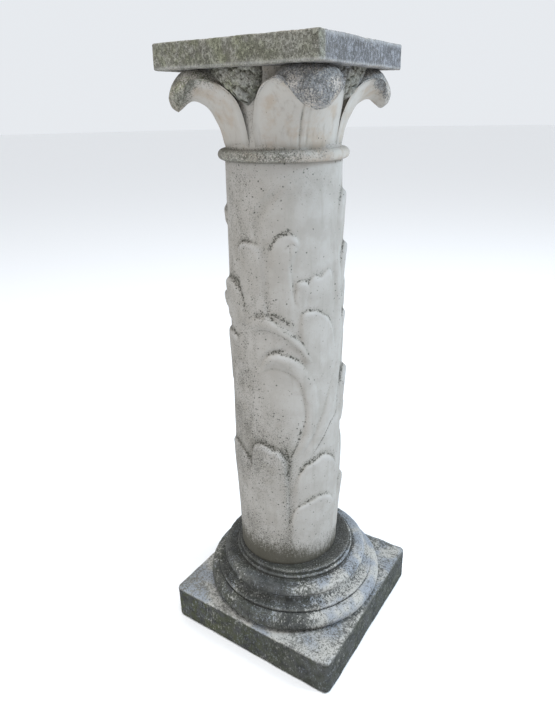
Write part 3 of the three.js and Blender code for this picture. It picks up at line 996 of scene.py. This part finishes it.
# Cut lines with dirt in them, and lines without depth that only darken the stone: dirt together with painted
# shade by the relief's edges.
GROOVES: dict[str, Groove] = {
    "egg edge": Groove(((-84, 452), (-79, 459), (-69, 465), (-57, 458), (-48, 445), (-42, 418), (-39, 385),
        (-39, 355), (-43, 325), (-47, 301), (-52, 283)), 1.7, 2.2, 0.5),
    "eye arc": Groove(((-86, 440), (-84, 452), (-82, 477), (-76, 495), (-65, 503), (-54, 511)), 1.4, 3.0,
        0.22),
    "scroll upper edge": Groove(((-97, 537), (-89, 567), (-81, 570), (-73, 567), (-59, 542), (-50, 529),
        (-42, 517), (-35, 490), (-27, 466)), 1.2, 2.5, 0.6),
    "scroll lower edge": Groove(((-97, 530), (-82, 540), (-70, 538), (-59, 529), (-51, 513), (-42, 495),
        (-34, 469)), 1.4, 2.3, 0.6),
    "curl fold": Groove(((-105, 685), (-98, 691), (-90, 688), (-86, 671), (-84, 645), (-84, 600)), 1.1, 2.4,
        0.22),
    "curl edge": Groove(((-109, 687), (-103, 700), (-97, 704), (-88, 702), (-81, 690)), 0.8, 2.2, 0.55),
    "middle leaf edge": Groove(((-71, 685), (-69, 703), (-64, 715), (-53, 720), (-46, 714)), 0.8, 2.4, 0.8),
    "middle leaf curl": Groove(((-58, 693), (-54, 701), (-49, 702), (-45, 694)), 1.2, 2.0, 0.6),
    "middle leaf side": Groove(((-53, 700), (-53, 689), (-51, 638), (-49, 601), (-44, 584)), 1.0, 1.8, 0.5),
    "bud edge": Groove(((-50, 590), (-48, 620), (-47, 632), (-41, 635), (-36, 631), (-34, 617)), 0.8, 1.8,
        0.4),
    "stalk left line": Groove(((-9, 728), (-7, 673), (-1, 615), (3, 563), (4, 491), (-3, 442), (-9, 411),
        (-14, 390), (-22, 355)), 1.1, 1.9, 0.16),
    "stalk lower line": Groove(((11, 449), (9, 371), (6, 344), (-5, 330), (-14, 310), (-27, 281), (-38, 258)),
        1.8, 2.2, 0.7),
    "foot fold": Groove(((-72, 288), (-72, 270), (-73, 245)), 1.2, 2.4, 0.2),
    "foot fold left": Groove(((-90, 290), (-88, 255), (-88, 215)), 1.0, 3.0, 0.12),
    "foot seam": Groove(((-59, 256), (-57, 220), (-56, 170), (-57, 120), (-55, 90)), 1.0, 2.6, 0.5),
    "leaf junction": Groove(((-61, 300), (-58, 280), (-56, 262), (-57, 240), (-59, 220)), 0.5, 4.5, 0.78),
    "egg foot": Groove(((-43, 340), (-46, 312), (-51, 288), (-56, 268)), 0.5, 3.6, 0.74),
    "far leaf edge": Groove(((-124, 627), (-112, 621), (-104, 606), (-100.5, 580), (-99, 562)), 0.8, 3.2,
        0.72),
    # scroll rim, middle leaf rim, shade between leaves and curl shade have no depth: painted shade together
    # with dirt
    "scroll rim": Groove(((-93, 553), (-88, 566), (-79, 573), (-66, 570), (-54, 556), (-46, 541)), 0.3, 6.0,
        0.66),
    "middle leaf rim": Groove(((-74, 676), (-72, 698), (-65, 714), (-56, 724), (-48, 722)), 0.0, 6.0, 0.62),
    "shade between leaves": Groove(((-77, 715), (-75, 670), (-76, 610), (-74, 560)), 0.0, 6.0, 0.4),
    "curl shade": Groove(BY_THE_CURL, 0.0, 10.0, 0.34),
    "low leaf edge": Groove(((-58, 95), (-54, 127), (-49, 151), (-42, 159)), 0.6, 1.7, 0.6),
}


@dataclass
class Shaft:
    """The tapered shaft with its relief: one panel, repeated on the far side. Sizes in mm."""

    foot: float = 185.3
    length: float = 837.4
    radii: tuple[float, ...] = (108.6, 109.2, 111.6, 112.0, 111.0, 110.0, 109.0, 108.0, 107.0)
    soil_reach: float = 94.0
    left_side: float = -130.0
    right_side: float = 20.0
    seam: float = -57.0
    columns: int = 292
    rows: int = 326
    panels: int = 2
    smooth_below: float = 70.0
    grain: Grain = field(default_factory=lambda: Grain(23))

    def relief(self, panel: Place, whole: Place) -> tuple[Array, Array]:
        """The relief: at each place the highest leaf or raised band, less the sunk bands and the grooves.

        Args:
            panel: the points of one panel, which is repeated.
            whole: the points all round, for the leaves that stand once.

        Returns:
            Heights in mm, and the share of dirt and painted shade in the grooves.
        """
        raised = [leaf.height(panel) for leaf in LEAVES.values() if not leaf.once]
        bands = [band.height(panel) for band in BANDS.values()]
        near = [(groove, groove.nearness(panel)) for groove in GROOVES.values()]
        height = np.maximum.reduce(raised + bands)
        sunk = np.minimum(np.minimum.reduce(bands), 0.0)
        cut = np.maximum.reduce([groove.depth * share for groove, share in near])
        dirt = np.maximum.reduce([groove.dirt * share for groove, share in near])
        height, sunk, cut, dirt = (np.tile(part, (1, self.panels)) for part in (height, sunk, cut, dirt))
        single = [leaf.height(whole) for leaf in LEAVES.values() if leaf.once]
        return np.maximum.reduce([height, *single]) + sunk - cut, dirt

    @staticmethod
    def blurred(height: Array, reach: int) -> Array:
        """A height map averaged with its neighbours twice over, round the shaft and up it.

        Args:
            height: rows by columns.
            reach: neighbours on each side.

        Returns:
            The averaged map.
        """
        for _ in range(2):
            for axis in (0, 1):
                moved = [np.roll(height, step, axis) for step in range(-reach, reach + 1)]
                height = sum(moved) / len(moved)
        return height

    def weather(self, place: Place, plain: Array, relief: Array, dirt: Array) -> Marks:
        """Weathering and painted light: dirt and painted shade in the grooves, in cavities by upper edges and
        just below the astragal, specks on the left and low down, soil at the foot with a ragged upper edge,
        and worn crests with a painted highlight.

        Args:
            place: the points all round.
            plain: the same points in mm, without relief.
            relief: height of the relief.
            dirt: share of dirt and painted shade in the grooves.

        Returns:
            A share for each mark and place.
        """
        up, wide = place.up, self.blurred(relief, 4)
        dip = self.blurred(relief, 2) - relief
        above = unit(-np.gradient(wide, axis=0) / 0.32)
        cavity = unit(dip / 1.2) * (0.15 + 0.85 * above)
        hollow = unit((wide - relief) / 1.9) * above
        crest = unit(-dip / 1.3) * above
        left = smooth_step(np.cos(np.radians(place.angle - self.left_side)), 0.1, 1.0)
        right = smooth_step(np.cos(np.radians(place.angle - self.right_side)), 0.1, 0.9)
        patches = self.grain.layered(plain + 200.0, 80.0)
        ragged = self.grain.layered(plain * [1.0, 1.0, 0.4], 12.0)
        reach = self.soil_reach + 10.0 * left + 10.0 * self.grain.at(plain + 77.0, 60.0) + 9.0 * ragged
        near_foot = (1.0 - unit(up / reach)) ** (1.0 + 0.4 * left)
        near_neck = smooth_step(self.length - up, 4.0 + 2.5 * ragged, 0.0)
        panel = replace(place, repeat=360.0 / self.panels)
        seam = np.exp(-((panel.across(self.seam) / 7.0) ** 2)) * smooth_step(up, 340.0, 250.0)
        shade = np.minimum(np.maximum(cavity, hollow) * (0.7 + 0.5 * patches), 0.68)
        low = smooth_step(up, 420.0, 300.0) * smooth_step(up, 90.0, 260.0)
        return {
            # painted shade in cavities by the relief's upper edges and just below the astragal, together with
            # dirt
            Mark.GRIME: np.maximum(shade, dirt) + 0.3 * near_neck * (0.4 + left),
            # the hollow term adds painted shade as specks in broad hollows above the leaf tips
            Mark.CRUST: 0.1 + 0.3 * patches + 0.34 * left + 0.2 * low * (0.3 + left) + 0.5 * hollow
            + 0.55 * seam + 0.3 * ragged * left + 0.3 * smooth_step(up, 150.0, 30.0) * (1.0 - right),
            Mark.MOSS: near_foot * (1.12 + 0.2 * left - 0.34 * right) + 0.25 * np.exp(-up / 9.0),
            # painted highlight on crests that face up, together with wear
            Mark.WEAR: crest * (0.5 + 0.5 * patches),
        }

    def build(self) -> bpy.types.Object:
        """Makes the shaft: radius plus relief plus a little unevenness, carried round and up.

        Returns:
            The object.
        """
        share = np.linspace(0.0, 1.0, self.rows)
        angle, along = np.meshgrid(np.linspace(0.0, 360.0, self.columns, endpoint=False), share)
        radius = curve_through(np.array(self.radii)[:, None], share) + 0 * angle
        up = along * self.length
        whole = Place(angle, up, radius * math.pi / 180.0, 360.0)
        first = slice(0, self.columns // self.panels)
        panel = Place(angle[:, first], up[:, first], whole.mm_per_degree[:, first], 360.0 / self.panels)
        relief, dirt = self.relief(panel, whole)
        radial = np.radians(angle)
        plain = np.stack([radius * np.cos(radial), radius * np.sin(radial), self.foot + up], axis=-1)
        uneven = 0.45 * self.grain.layered(plain, 45.0) + 0.12 * self.grain.at(plain, 6.0)
        full = radius + self.blurred(relief, 1) * 0.6 + relief * 0.4 + uneven
        full = full - np.clip(1.5 - np.minimum(up, self.length - up), 0.0, 1.5) * 0.4
        points = np.stack([full * np.cos(radial), full * np.sin(radial), plain[..., 2]], axis=-1) + AXIS
        foot, head = (AXIS + (points[row] - AXIS) * [0.5, 0.5, 1.0] for row in (0, -1))
        marks = self.weather(whole, plain, relief, dirt)
        padded = {mark: np.concatenate([value[:1], value, value[-1:]]) for mark, value in marks.items()}
        stone = StoneMesh("shaft_stone")
        stone.add_shell(np.concatenate([foot[None], points, head[None]]), padded)
        return stone.build(PaleStone().make(), self.smooth_below)


# ------------------------------ capital


@dataclass(frozen=True)
class CornerLeaf:
    """A broad leaf on the capital's diagonal that curls over at its tip, given in mm by three curves from its
    root to its tip: the rim as outward, sideways and up, the middles of front and back as outward and up.
    """

    rim: Knots = ((76, 72, 1040), (78, 73.5, 1060), (81, 75, 1080), (86, 75.8, 1098), (95, 75.5, 1118),
                  (106, 73, 1132), (119, 68, 1143), (132, 61, 1149.5), (145, 56, 1153), (155, 53, 1153.5),
                  (163, 50.5, 1152), (170, 48.5, 1149), (174, 47, 1143))
    front: Knots = ((103, 1040), (107, 1053), (110.5, 1068), (115, 1080), (120, 1090), (126, 1101),
                    (133, 1110), (142, 1116.5), (151, 1120.5), (160, 1121), (168, 1117.5), (176, 1111),
                    (184, 1105))
    back: Knots = ((70, 1176), (95, 1177), (118, 1177), (138, 1176), (155, 1174), (168, 1170), (178, 1164),
                   (186, 1155), (192.5, 1145), (197, 1134), (198.4, 1124), (194, 1112), (184, 1105))
    rows: int = 68
    front_columns: int = 88
    back_columns: int = 32

    def surface(self) -> tuple[Array, Array, Array]:
        """The leaf's skin: across the leaf, its dished front and rounded back bend from their middle curve to
        the rim with a power of the distance from the middle. At the tip all three meet in one curved edge.

        Returns:
            Points as rows by loop columns by outward, sideways and up, the share across, and 1 on the front.
        """
        place = np.linspace(0.0, 1.0, self.rows)
        rim, front, back = (curve_through(np.array(knots, float), place)[:, None, :]
                            for knots in (self.rim, self.front, self.back))
        faces, shares = [], []
        for middle, columns, power in ((front, self.front_columns, 2.0 + 0.2 * place),
                                       (back, self.back_columns, 3.4 - 1.2 * place)):
            even = np.linspace(-1.0, 1.0, columns)
            side = 0.5 * np.sin(math.pi / 2 * even) + 0.5 * even * np.abs(even) ** 0.8
            bend = np.abs(side)[None, :] ** power[:, None]
            out = middle[..., 0] + (rim[..., 0] - middle[..., 0]) * bend
            up = middle[..., 1] + (rim[..., 2] - middle[..., 1]) * bend
            faces.append(np.stack([out, side * rim[..., 1], up], axis=-1))
            shares.append(side)
        loop = np.concatenate([faces[0], faces[1][:, -2:0:-1]], axis=1)
        share = np.concatenate([shares[0], shares[1][-2:0:-1]])
        is_front = (np.arange(len(share)) < self.front_columns).astype(float)
        return loop, share, is_front


@dataclass(frozen=True)
class FlowerMass:
    """A wedge of rounded lumps that narrows downwards, with one larger flower at its foot. Sizes in mm."""

    top: float = 1171.0
    drop: float = 58.0
    wall: float = 72.0
    front: float = 137.0
    front_taper: float = 28.0
    behind: float = 14.0
    lumps: int = 330
    lump_sizes: tuple[float, float] = (2.2, 5.0)
    bloom: tuple[float, float] = (3.0, 1130.0)
    bloom_radius: float = 11.0
    bloom_height: float = 9.0
    petals: float = 5.0

    @staticmethod
    def half_width(down: Array) -> Array:
        """Half the mass's width in mm, from its top, 0, to its foot, 1."""
        return 50.0 * (1.0 - down) ** 0.75 + 6.0 * (1.0 - down**4) + 2.0

    def surface(self, random: np.random.Generator) -> tuple[Array, Array]:
        """The skin: each lump pushes it out as half a ball, and the larger flower as a lobed dome with a dip.

        Args:
            random: draws where the lumps are and how large.

        Returns:
            Points as rows by columns by outward, sideways and up, and how far each is pushed out.
        """
        down = np.linspace(0.0, 1.0, 64)[:, None]
        around = np.concatenate([np.arcsin(np.linspace(-1.0, 1.0, 110)),
                                 np.linspace(0.5, 1.5, 16)[1:-1] * math.pi])[None, :]
        ahead = unit(np.cos(around)) ** 0.4
        front = self.front - self.front_taper * down**2.6
        out = self.wall + (front - self.wall) * ahead - self.behind * unit(-np.cos(around))
        sideways = self.half_width(down) * np.sin(around)
        up = self.top - self.drop * down + 0 * around
        swell = np.zeros(out.shape)
        for _ in range(self.lumps):
            fall, size = random.uniform(0.0, 0.97), random.uniform(*self.lump_sizes)
            middle = self.half_width(fall) * random.uniform(-0.98, 0.98)
            distance = np.hypot(sideways - middle, up - (self.top - self.drop * fall)) / size
            swell = np.maximum(swell, 0.9 * size * np.sqrt(unit(1.0 - distance**2)))
        aside, above = sideways - self.bloom[0], up - self.bloom[1]
        bloom = np.hypot(aside, above) / self.bloom_radius
        lobes = 1.0 + 0.2 * np.cos(self.petals * np.arctan2(above, aside))
        dip = 1.0 - 0.6 * np.exp(-((bloom / 0.25) ** 2))
        dome = self.bloom_height * np.sqrt(unit(1.0 - (bloom / lobes) ** 2)) * dip
        swell = np.where(bloom < 1.15, np.maximum(swell * 0.25, dome), swell)
        return np.stack([out + (swell - 2.0) * (ahead > 0.2), sideways, up], axis=-1), swell


@dataclass
class Capital:
    """Astragal, bell, corner leaves, flower masses and abacus, one casting. Sizes in mm."""

    abacus: Slab = Slab(side=313.0, height=41.0, foot=1169.0, corner=5.0, arris=3.0)
    leaf: CornerLeaf = CornerLeaf()
    flower: FlowerMass = FlowerMass()
    leaf_turns: tuple[float, ...] = (45.0, 135.0, 225.0, 318.0)
    flower_leans: tuple[float, ...] = (22.0, 0.0, 0.0, -18.0)
    first_seed: int = 5
    foot: float = 1023.0
    astragal_height: float = 20.0
    necking_radius: float = 109.0
    astragal_radius: float = 120.0
    bell_radius: float = 105.0
    lip_radius: float = 122.0
    core_radius: float = 60.0
    turn: float = 1.2
    columns: int = 240
    grain: Grain = field(default_factory=lambda: Grain(37))

    def placed(self, points: Array) -> Array:
        """Points about the capital's axis, in mm, turned with it and moved onto the shaft's axis."""
        return around_z(points, self.turn) + AXIS

    def add_body(self, stone: StoneMesh) -> None:
        """Adds the astragal and the bell, a profile carried round the axis, with painted shade under the
        astragal and below the abacus.

        Args:
            stone: the mesh to add to.
        """
        bell, head = self.foot + self.astragal_height, self.abacus.foot + 2.0
        roll = bulge(self.foot, self.astragal_height, self.necking_radius, self.astragal_radius, 22)
        t = np.linspace(0.0, 1.0, 26)
        flare = self.bell_radius + (self.lip_radius - self.bell_radius) * t**3
        wall = np.stack([flare, bell + (head - bell) * t], axis=-1)
        profile = np.concatenate([[[self.core_radius, self.foot]], roll, wall, [[self.core_radius, head]]])
        rings = turned(profile, self.columns)
        wear = self.grain.wear(rings, (0.6, 26.0), (0.2, 5.0))
        wear[..., 2] *= 0.3
        height = rings[..., 2]
        angle = np.degrees(np.arctan2(rings[..., 1], rings[..., 0]))
        shaded = smooth_step(np.cos(np.radians(angle + 110.0)), -0.2, 0.9)
        astragal = smooth_step(height, bell + 4.0, bell - 2.0)
        under = smooth_step(height, self.foot + 5.0, self.foot)
        crown = smooth_step(np.abs(height - bell), 5.0, 1.0)
        patches = self.grain.layered(rings, 30.0)
        marks = {
            # painted shade under the astragal, where it meets the bell and below the abacus, strongest on the
            # shaded side, together with dirt
            Mark.GRIME: 0.8 * under * (0.4 + 0.6 * shaded) + 0.6 * crown * (0.3 + 0.7 * shaded)
            + 0.4 * smooth_step(height, 1120.0, 1160.0),
            Mark.CRUST: astragal * (0.12 + 0.55 * shaded) + 0.32 * (1.0 - astragal) + 0.2 * patches,
            # where this moss share is low, on the lit side, the finish lays on a painted bluish sky tint
            Mark.MOSS: 0.12 + 0.3 * shaded,
        }
        stone.add_shell(self.placed(rings + wear), marks)

    def add_leaf(self, stone: StoneMesh, turn: float) -> None:
        """Adds one corner leaf: its skin, two shallow creases beside its midrib, and worn unevenness.

        Args:
            stone: the mesh to add to.
            turn: degrees from the X axis to the leaf's middle.
        """
        points, share, is_front = self.leaf.surface()
        along = np.linspace(0.0, 1.0, len(points))[:, None]
        across = np.abs(share)
        blade = is_front * smooth_step(along, 0.72, 0.5)
        crease = sum(deep * np.exp(-((points[..., 1] - aside) / 2.0) ** 2)
                     for deep, aside in ((1.0, -5.0), (0.35, 7.0)))
        crease = crease * (0.75 + 0.5 * self.grain.at(points, 14.0))
        points[..., 0] -= 2.0 * crease * blade
        world = around_z(points, turn)
        world = world + self.grain.wear(world, (0.9, 34.0), (0.25, 6.0))
        curl = smooth_step(along, 0.62, 0.86) + 0 * share
        back = 1.0 - is_front
        top = back * smooth_step(along, 0.2, 0.45)
        rim = smooth_step(across, 0.55, 1.0) * smooth_step(along, 0.3, 0.6)
        left = smooth_step(world[..., 0], 20.0, -120.0)
        root = smooth_step(along, 0.0, 0.1)
        marks = {
            # dark creases, root and edge: painted shade together with dirt
            Mark.GRIME: 0.8 * crease * blade * root + 0.4 * smooth_step(along, 0.1, 0.02)
            + 0.25 * smooth_step(across, 0.86, 1.0) * blade,
            Mark.CRUST: np.maximum(is_front * (0.5 * rim + 0.5 * curl), back * (0.55 + 0.15 * top))
            + 0.35 * self.grain.layered(world, 26.0) - 0.1 + 0.12 * left * curl,
            Mark.MOSS: 0.12 + 0.4 * left + 0.6 * top * left * smooth_step(along, 0.9, 0.6),
            # a pale line along the front's rim below the curl: painted highlight together with wear
            Mark.WEAR: 0.5 * np.exp(-((across - 0.9) / 0.08) ** 2) * is_front * (1.0 - curl),
        }
        stone.add_shell(self.placed(world), marks)

    def add_flower(self, stone: StoneMesh, turn: float, lean: float, seed: int) -> None:
        """Adds the flower mass under one side of the abacus.

        Args:
            stone: the mesh to add to.
            turn: degrees from the X axis to the side's middle.
            lean: how far sideways the top of the wedge stands from the side's middle, in mm.
            seed: number that fixes where the lumps are.
        """
        points, swell = self.flower.surface(np.random.default_rng(seed))
        points[..., 1] += lean * (1.0 - np.linspace(0.0, 1.0, len(points))[:, None])
        world = around_z(points, turn)
        world = world + self.grain.wear(world, (0.5, 7.0))
        # for each side: moss, dirt, and the strength of the painted highlight on the lumps' tops
        moss, dirt, wear = (0.3, 0.2, 0.2) if lean > 0 else (0.62, 0.0, 0.35)
        marks = {
            Mark.CRUST: 0.85 + 0.25 * self.grain.layered(world, 25.0),
            Mark.MOSS: moss + 0.4 * self.grain.layered(world + 50.0, 30.0),
            # painted shade between the lumps, together with dirt
            Mark.GRIME: dirt + smooth_step(swell, 2.4, 0.4),
            # painted highlight on the lumps' tops, together with wear
            Mark.WEAR: wear * smooth_step(swell, 3.0, 4.6),
        }
        stone.add_shell(self.placed(world), marks)

    def add_abacus(self, stone: StoneMesh) -> None:
        """Adds the square slab on top, rough with lichen, with painted shade on its underside and painted
        highlights on its arrises.

        Args:
            stone: the mesh to add to.
        """
        foot, head = self.abacus.foot, self.abacus.foot + self.abacus.height
        block = self.abacus.rows(per_side=72, per_corner=7, side_rows=15, face_rows=12)
        worn = block + self.grain.wear(block, (0.8, 32.0), (0.45, 3.6))
        worn[..., 2] = np.minimum(worn[..., 2], head)
        x, y, z = np.moveaxis(block, -1, 0)
        low_edge = smooth_step(z, foot + 7.0, foot - 1.0)
        inside = smooth_step(np.maximum(np.abs(x), np.abs(y)), 140.0, 120.0) * low_edge
        left = unit(smooth_step(-y, 135.0, 152.0) + smooth_step(-x, 135.0, 152.0))
        rim = smooth_step(np.abs(z - foot - self.abacus.height / 2), 16.0, 20.0) * (1.0 - low_edge)
        upper_arris, lower_arris = (np.exp(-((z - at) / width) ** 2)
                                    for at, width in ((head - 3.5, 2.2), (foot + 2.5, 2.0)))
        patches = self.grain.layered(block + 70.0, 60.0)
        marks = {
            Mark.CRUST: 0.95 - 0.35 * low_edge + 0.2 * self.grain.layered(block, 30.0) - 0.25 * rim,
            Mark.MOSS: 0.06 + left * (0.5 + 0.6 * patches),
            # painted shade on the underside by the bell, together with dirt
            Mark.GRIME: 0.7 * inside + 0.3 * (0.4 + patches),
            # painted highlight on the upper arris except on the left, and on the lower arris, together with
            # wear
            Mark.WEAR: 0.6 * upper_arris * (1.0 - left) + 0.5 * lower_arris,
        }
        stone.add_shell(self.placed(worn), marks)

    def build(self) -> bpy.types.Object:
        """Makes the capital.

        Returns:
            The object.
        """
        stone = StoneMesh("capital_stone")
        self.add_body(stone)
        for side, (leaf_turn, lean) in enumerate(zip(self.leaf_turns, self.flower_leans)):
            self.add_leaf(stone, leaf_turn)
            self.add_flower(stone, 90.0 * side, lean, self.first_seed + side)
        self.add_abacus(stone)
        return stone.build(LichenedStone().make())


# ------------------------------ studio


def set_at(thing: bpy.types.Object, axes: Array, place: Array) -> None:
    """Sets where an object stands and faces, and links it.

    Args:
        thing: the object.
        axes: its X, Y and Z axes as rows.
        place: its place in metres.
    """
    matrix = np.eye(4)
    matrix[:3, :3] = axes.T
    matrix[:3, 3] = place
    thing.matrix_world = Matrix(matrix.tolist())
    bpy.context.scene.collection.objects.link(thing)


@dataclass(frozen=True)
class View:
    """The camera of the picture: size, focal length and middle in pixels, place in mm, turns in radians."""

    width: int = 555
    height: int = 710
    focal: float = 586.593
    middle: tuple[float, float] = (279.517, 339.182)
    sensor: float = 36.0
    pitch: float = 0.3719
    roll: float = -0.0188
    away: float = 1117.4
    up: float = 1104.6
    stand_degrees: float = 32.698
    swing: float = 0.0126
    sight: float = 200.0

    def make(self) -> None:
        """Makes the camera: it stands level with the capital and looks down at the column from one corner."""
        cp, sp = math.cos(self.pitch), math.sin(self.pitch)
        right, ahead, above = np.array([1.0, 0, 0]), np.array([0, cp, -sp]), np.array([0, sp, cp])
        cr, sr = math.cos(self.roll), math.sin(self.roll)
        level = np.stack([cr * right + sr * above, cr * above - sr * right, -ahead])
        place = around_z(np.array([0.0, -self.away, self.up]), self.stand_degrees) + AXIS
        data = bpy.data.cameras.new("camera")
        data.sensor_fit = "VERTICAL"
        data.sensor_height = self.sensor
        data.lens = self.focal / self.height * self.sensor
        data.shift_x = (self.width / 2 - self.middle[0]) / self.height
        data.shift_y = (self.middle[1] - self.height / 2) / self.height
        data.clip_end = self.sight
        camera = bpy.data.objects.new("camera", data)
        set_at(camera, around_z(level, self.stand_degrees + math.degrees(self.swing)), place * MM)
        bpy.context.scene.camera = camera


@dataclass(frozen=True)
class Lamp:
    """A square soft light that faces the column. Place, size and aim in metres, power in watts."""

    name: str
    place: tuple[float, float, float]
    size: float
    power: float
    colour: Colour
    aim: tuple[float, float, float] = (0.0, 0.0, 0.6)

    def make(self) -> None:
        """Makes the light, with its side axis level."""
        data = bpy.data.lights.new(self.name, "AREA")
        data.shape, data.size, data.energy, data.color = "SQUARE", self.size, self.power, self.colour
        ahead = np.array(self.aim) - np.array(self.place)
        ahead = ahead / np.linalg.norm(ahead)
        right = np.cross(ahead, [0.0, 0.0, 1.0])
        right = right / np.linalg.norm(right)
        axes = np.stack([right, np.cross(right, ahead), -ahead])
        set_at(bpy.data.objects.new(self.name, data), axes, np.array(self.place))


@dataclass(frozen=True)
class Studio:
    """Pale floor and soft light."""

    lamps: tuple[Lamp, ...] = (
        Lamp("cool_side", (2.6, 0.9, 2.9), 1.0, 102.0, (0.68, 0.84, 1.0)),
        Lamp("overhead", (0.4, -0.9, 4.2), 1.2, 82.0, (0.97, 0.98, 1.0)),
        Lamp("warm_front", (-2.2, -3.0, 2.0), 2.5, 22.0, (1.0, 0.95, 0.88)),
    )
    floor_radius: float = 40.0
    floor_drop: float = 0.0005
    floor_sides: int = 96
    floor_rough: float = 0.9
    floor_colour: Colour = (0.93, 0.93, 0.93)
    sky: Colour = (0.93, 0.96, 1.0)
    sky_strength: float = 0.86

    def floor(self) -> None:
        """Makes the round floor, just under the column: one ring of points about the middle."""
        ring = turned(np.array([[self.floor_radius, 0.0]]), self.floor_sides)[0]
        mesh = bpy.data.meshes.new("floor")
        mesh.from_pydata(ring.tolist(), [], [list(range(len(ring)))])
        plain = bpy.data.materials.new("pale_floor")
        plain.use_nodes = True
        skin = plain.node_tree.nodes["Principled BSDF"].inputs
        skin["Base Color"].default_value = (*self.floor_colour, 1.0)
        skin["Roughness"].default_value = self.floor_rough
        mesh.materials.append(plain)
        floor = bpy.data.objects.new("floor", mesh)
        floor.location.z = -self.floor_drop
        bpy.context.scene.collection.objects.link(floor)

    def make(self) -> None:
        """Sets the even sky, the floor and the lamps."""
        world = bpy.data.worlds.new("studio")
        world.use_nodes = True
        sky = world.node_tree.nodes["Background"].inputs
        sky["Color"].default_value = (*self.sky, 1.0)
        sky["Strength"].default_value = self.sky_strength
        bpy.context.scene.world = world
        bpy.context.scene.view_settings.view_transform = "Standard"
        self.floor()
        for lamp in self.lamps:
            lamp.make()


def dress(piece: bpy.types.Object, node: str) -> None:
    """Lets a piece stand for its solid.

    Args:
        piece: the finished piece.
        node: the solid it replaces.
    """
    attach(piece, "root")
    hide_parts(node)
    LOG.info("%s: %d vertices stand for %s", piece.name, len(piece.data.vertices), node)


def main() -> None:
    """Builds the camera, the studio and the three blocks, and notes the sizes."""
    logging.basicConfig(level=logging.INFO, format="%(name)s: %(message)s")
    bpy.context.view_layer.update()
    View().make()
    Studio().make()
    dress(Base().build(), "base")
    dress(Shaft().build(), "shaft")
    dress(Capital().build(), "capital")


if __name__ == "__main__":
    main()
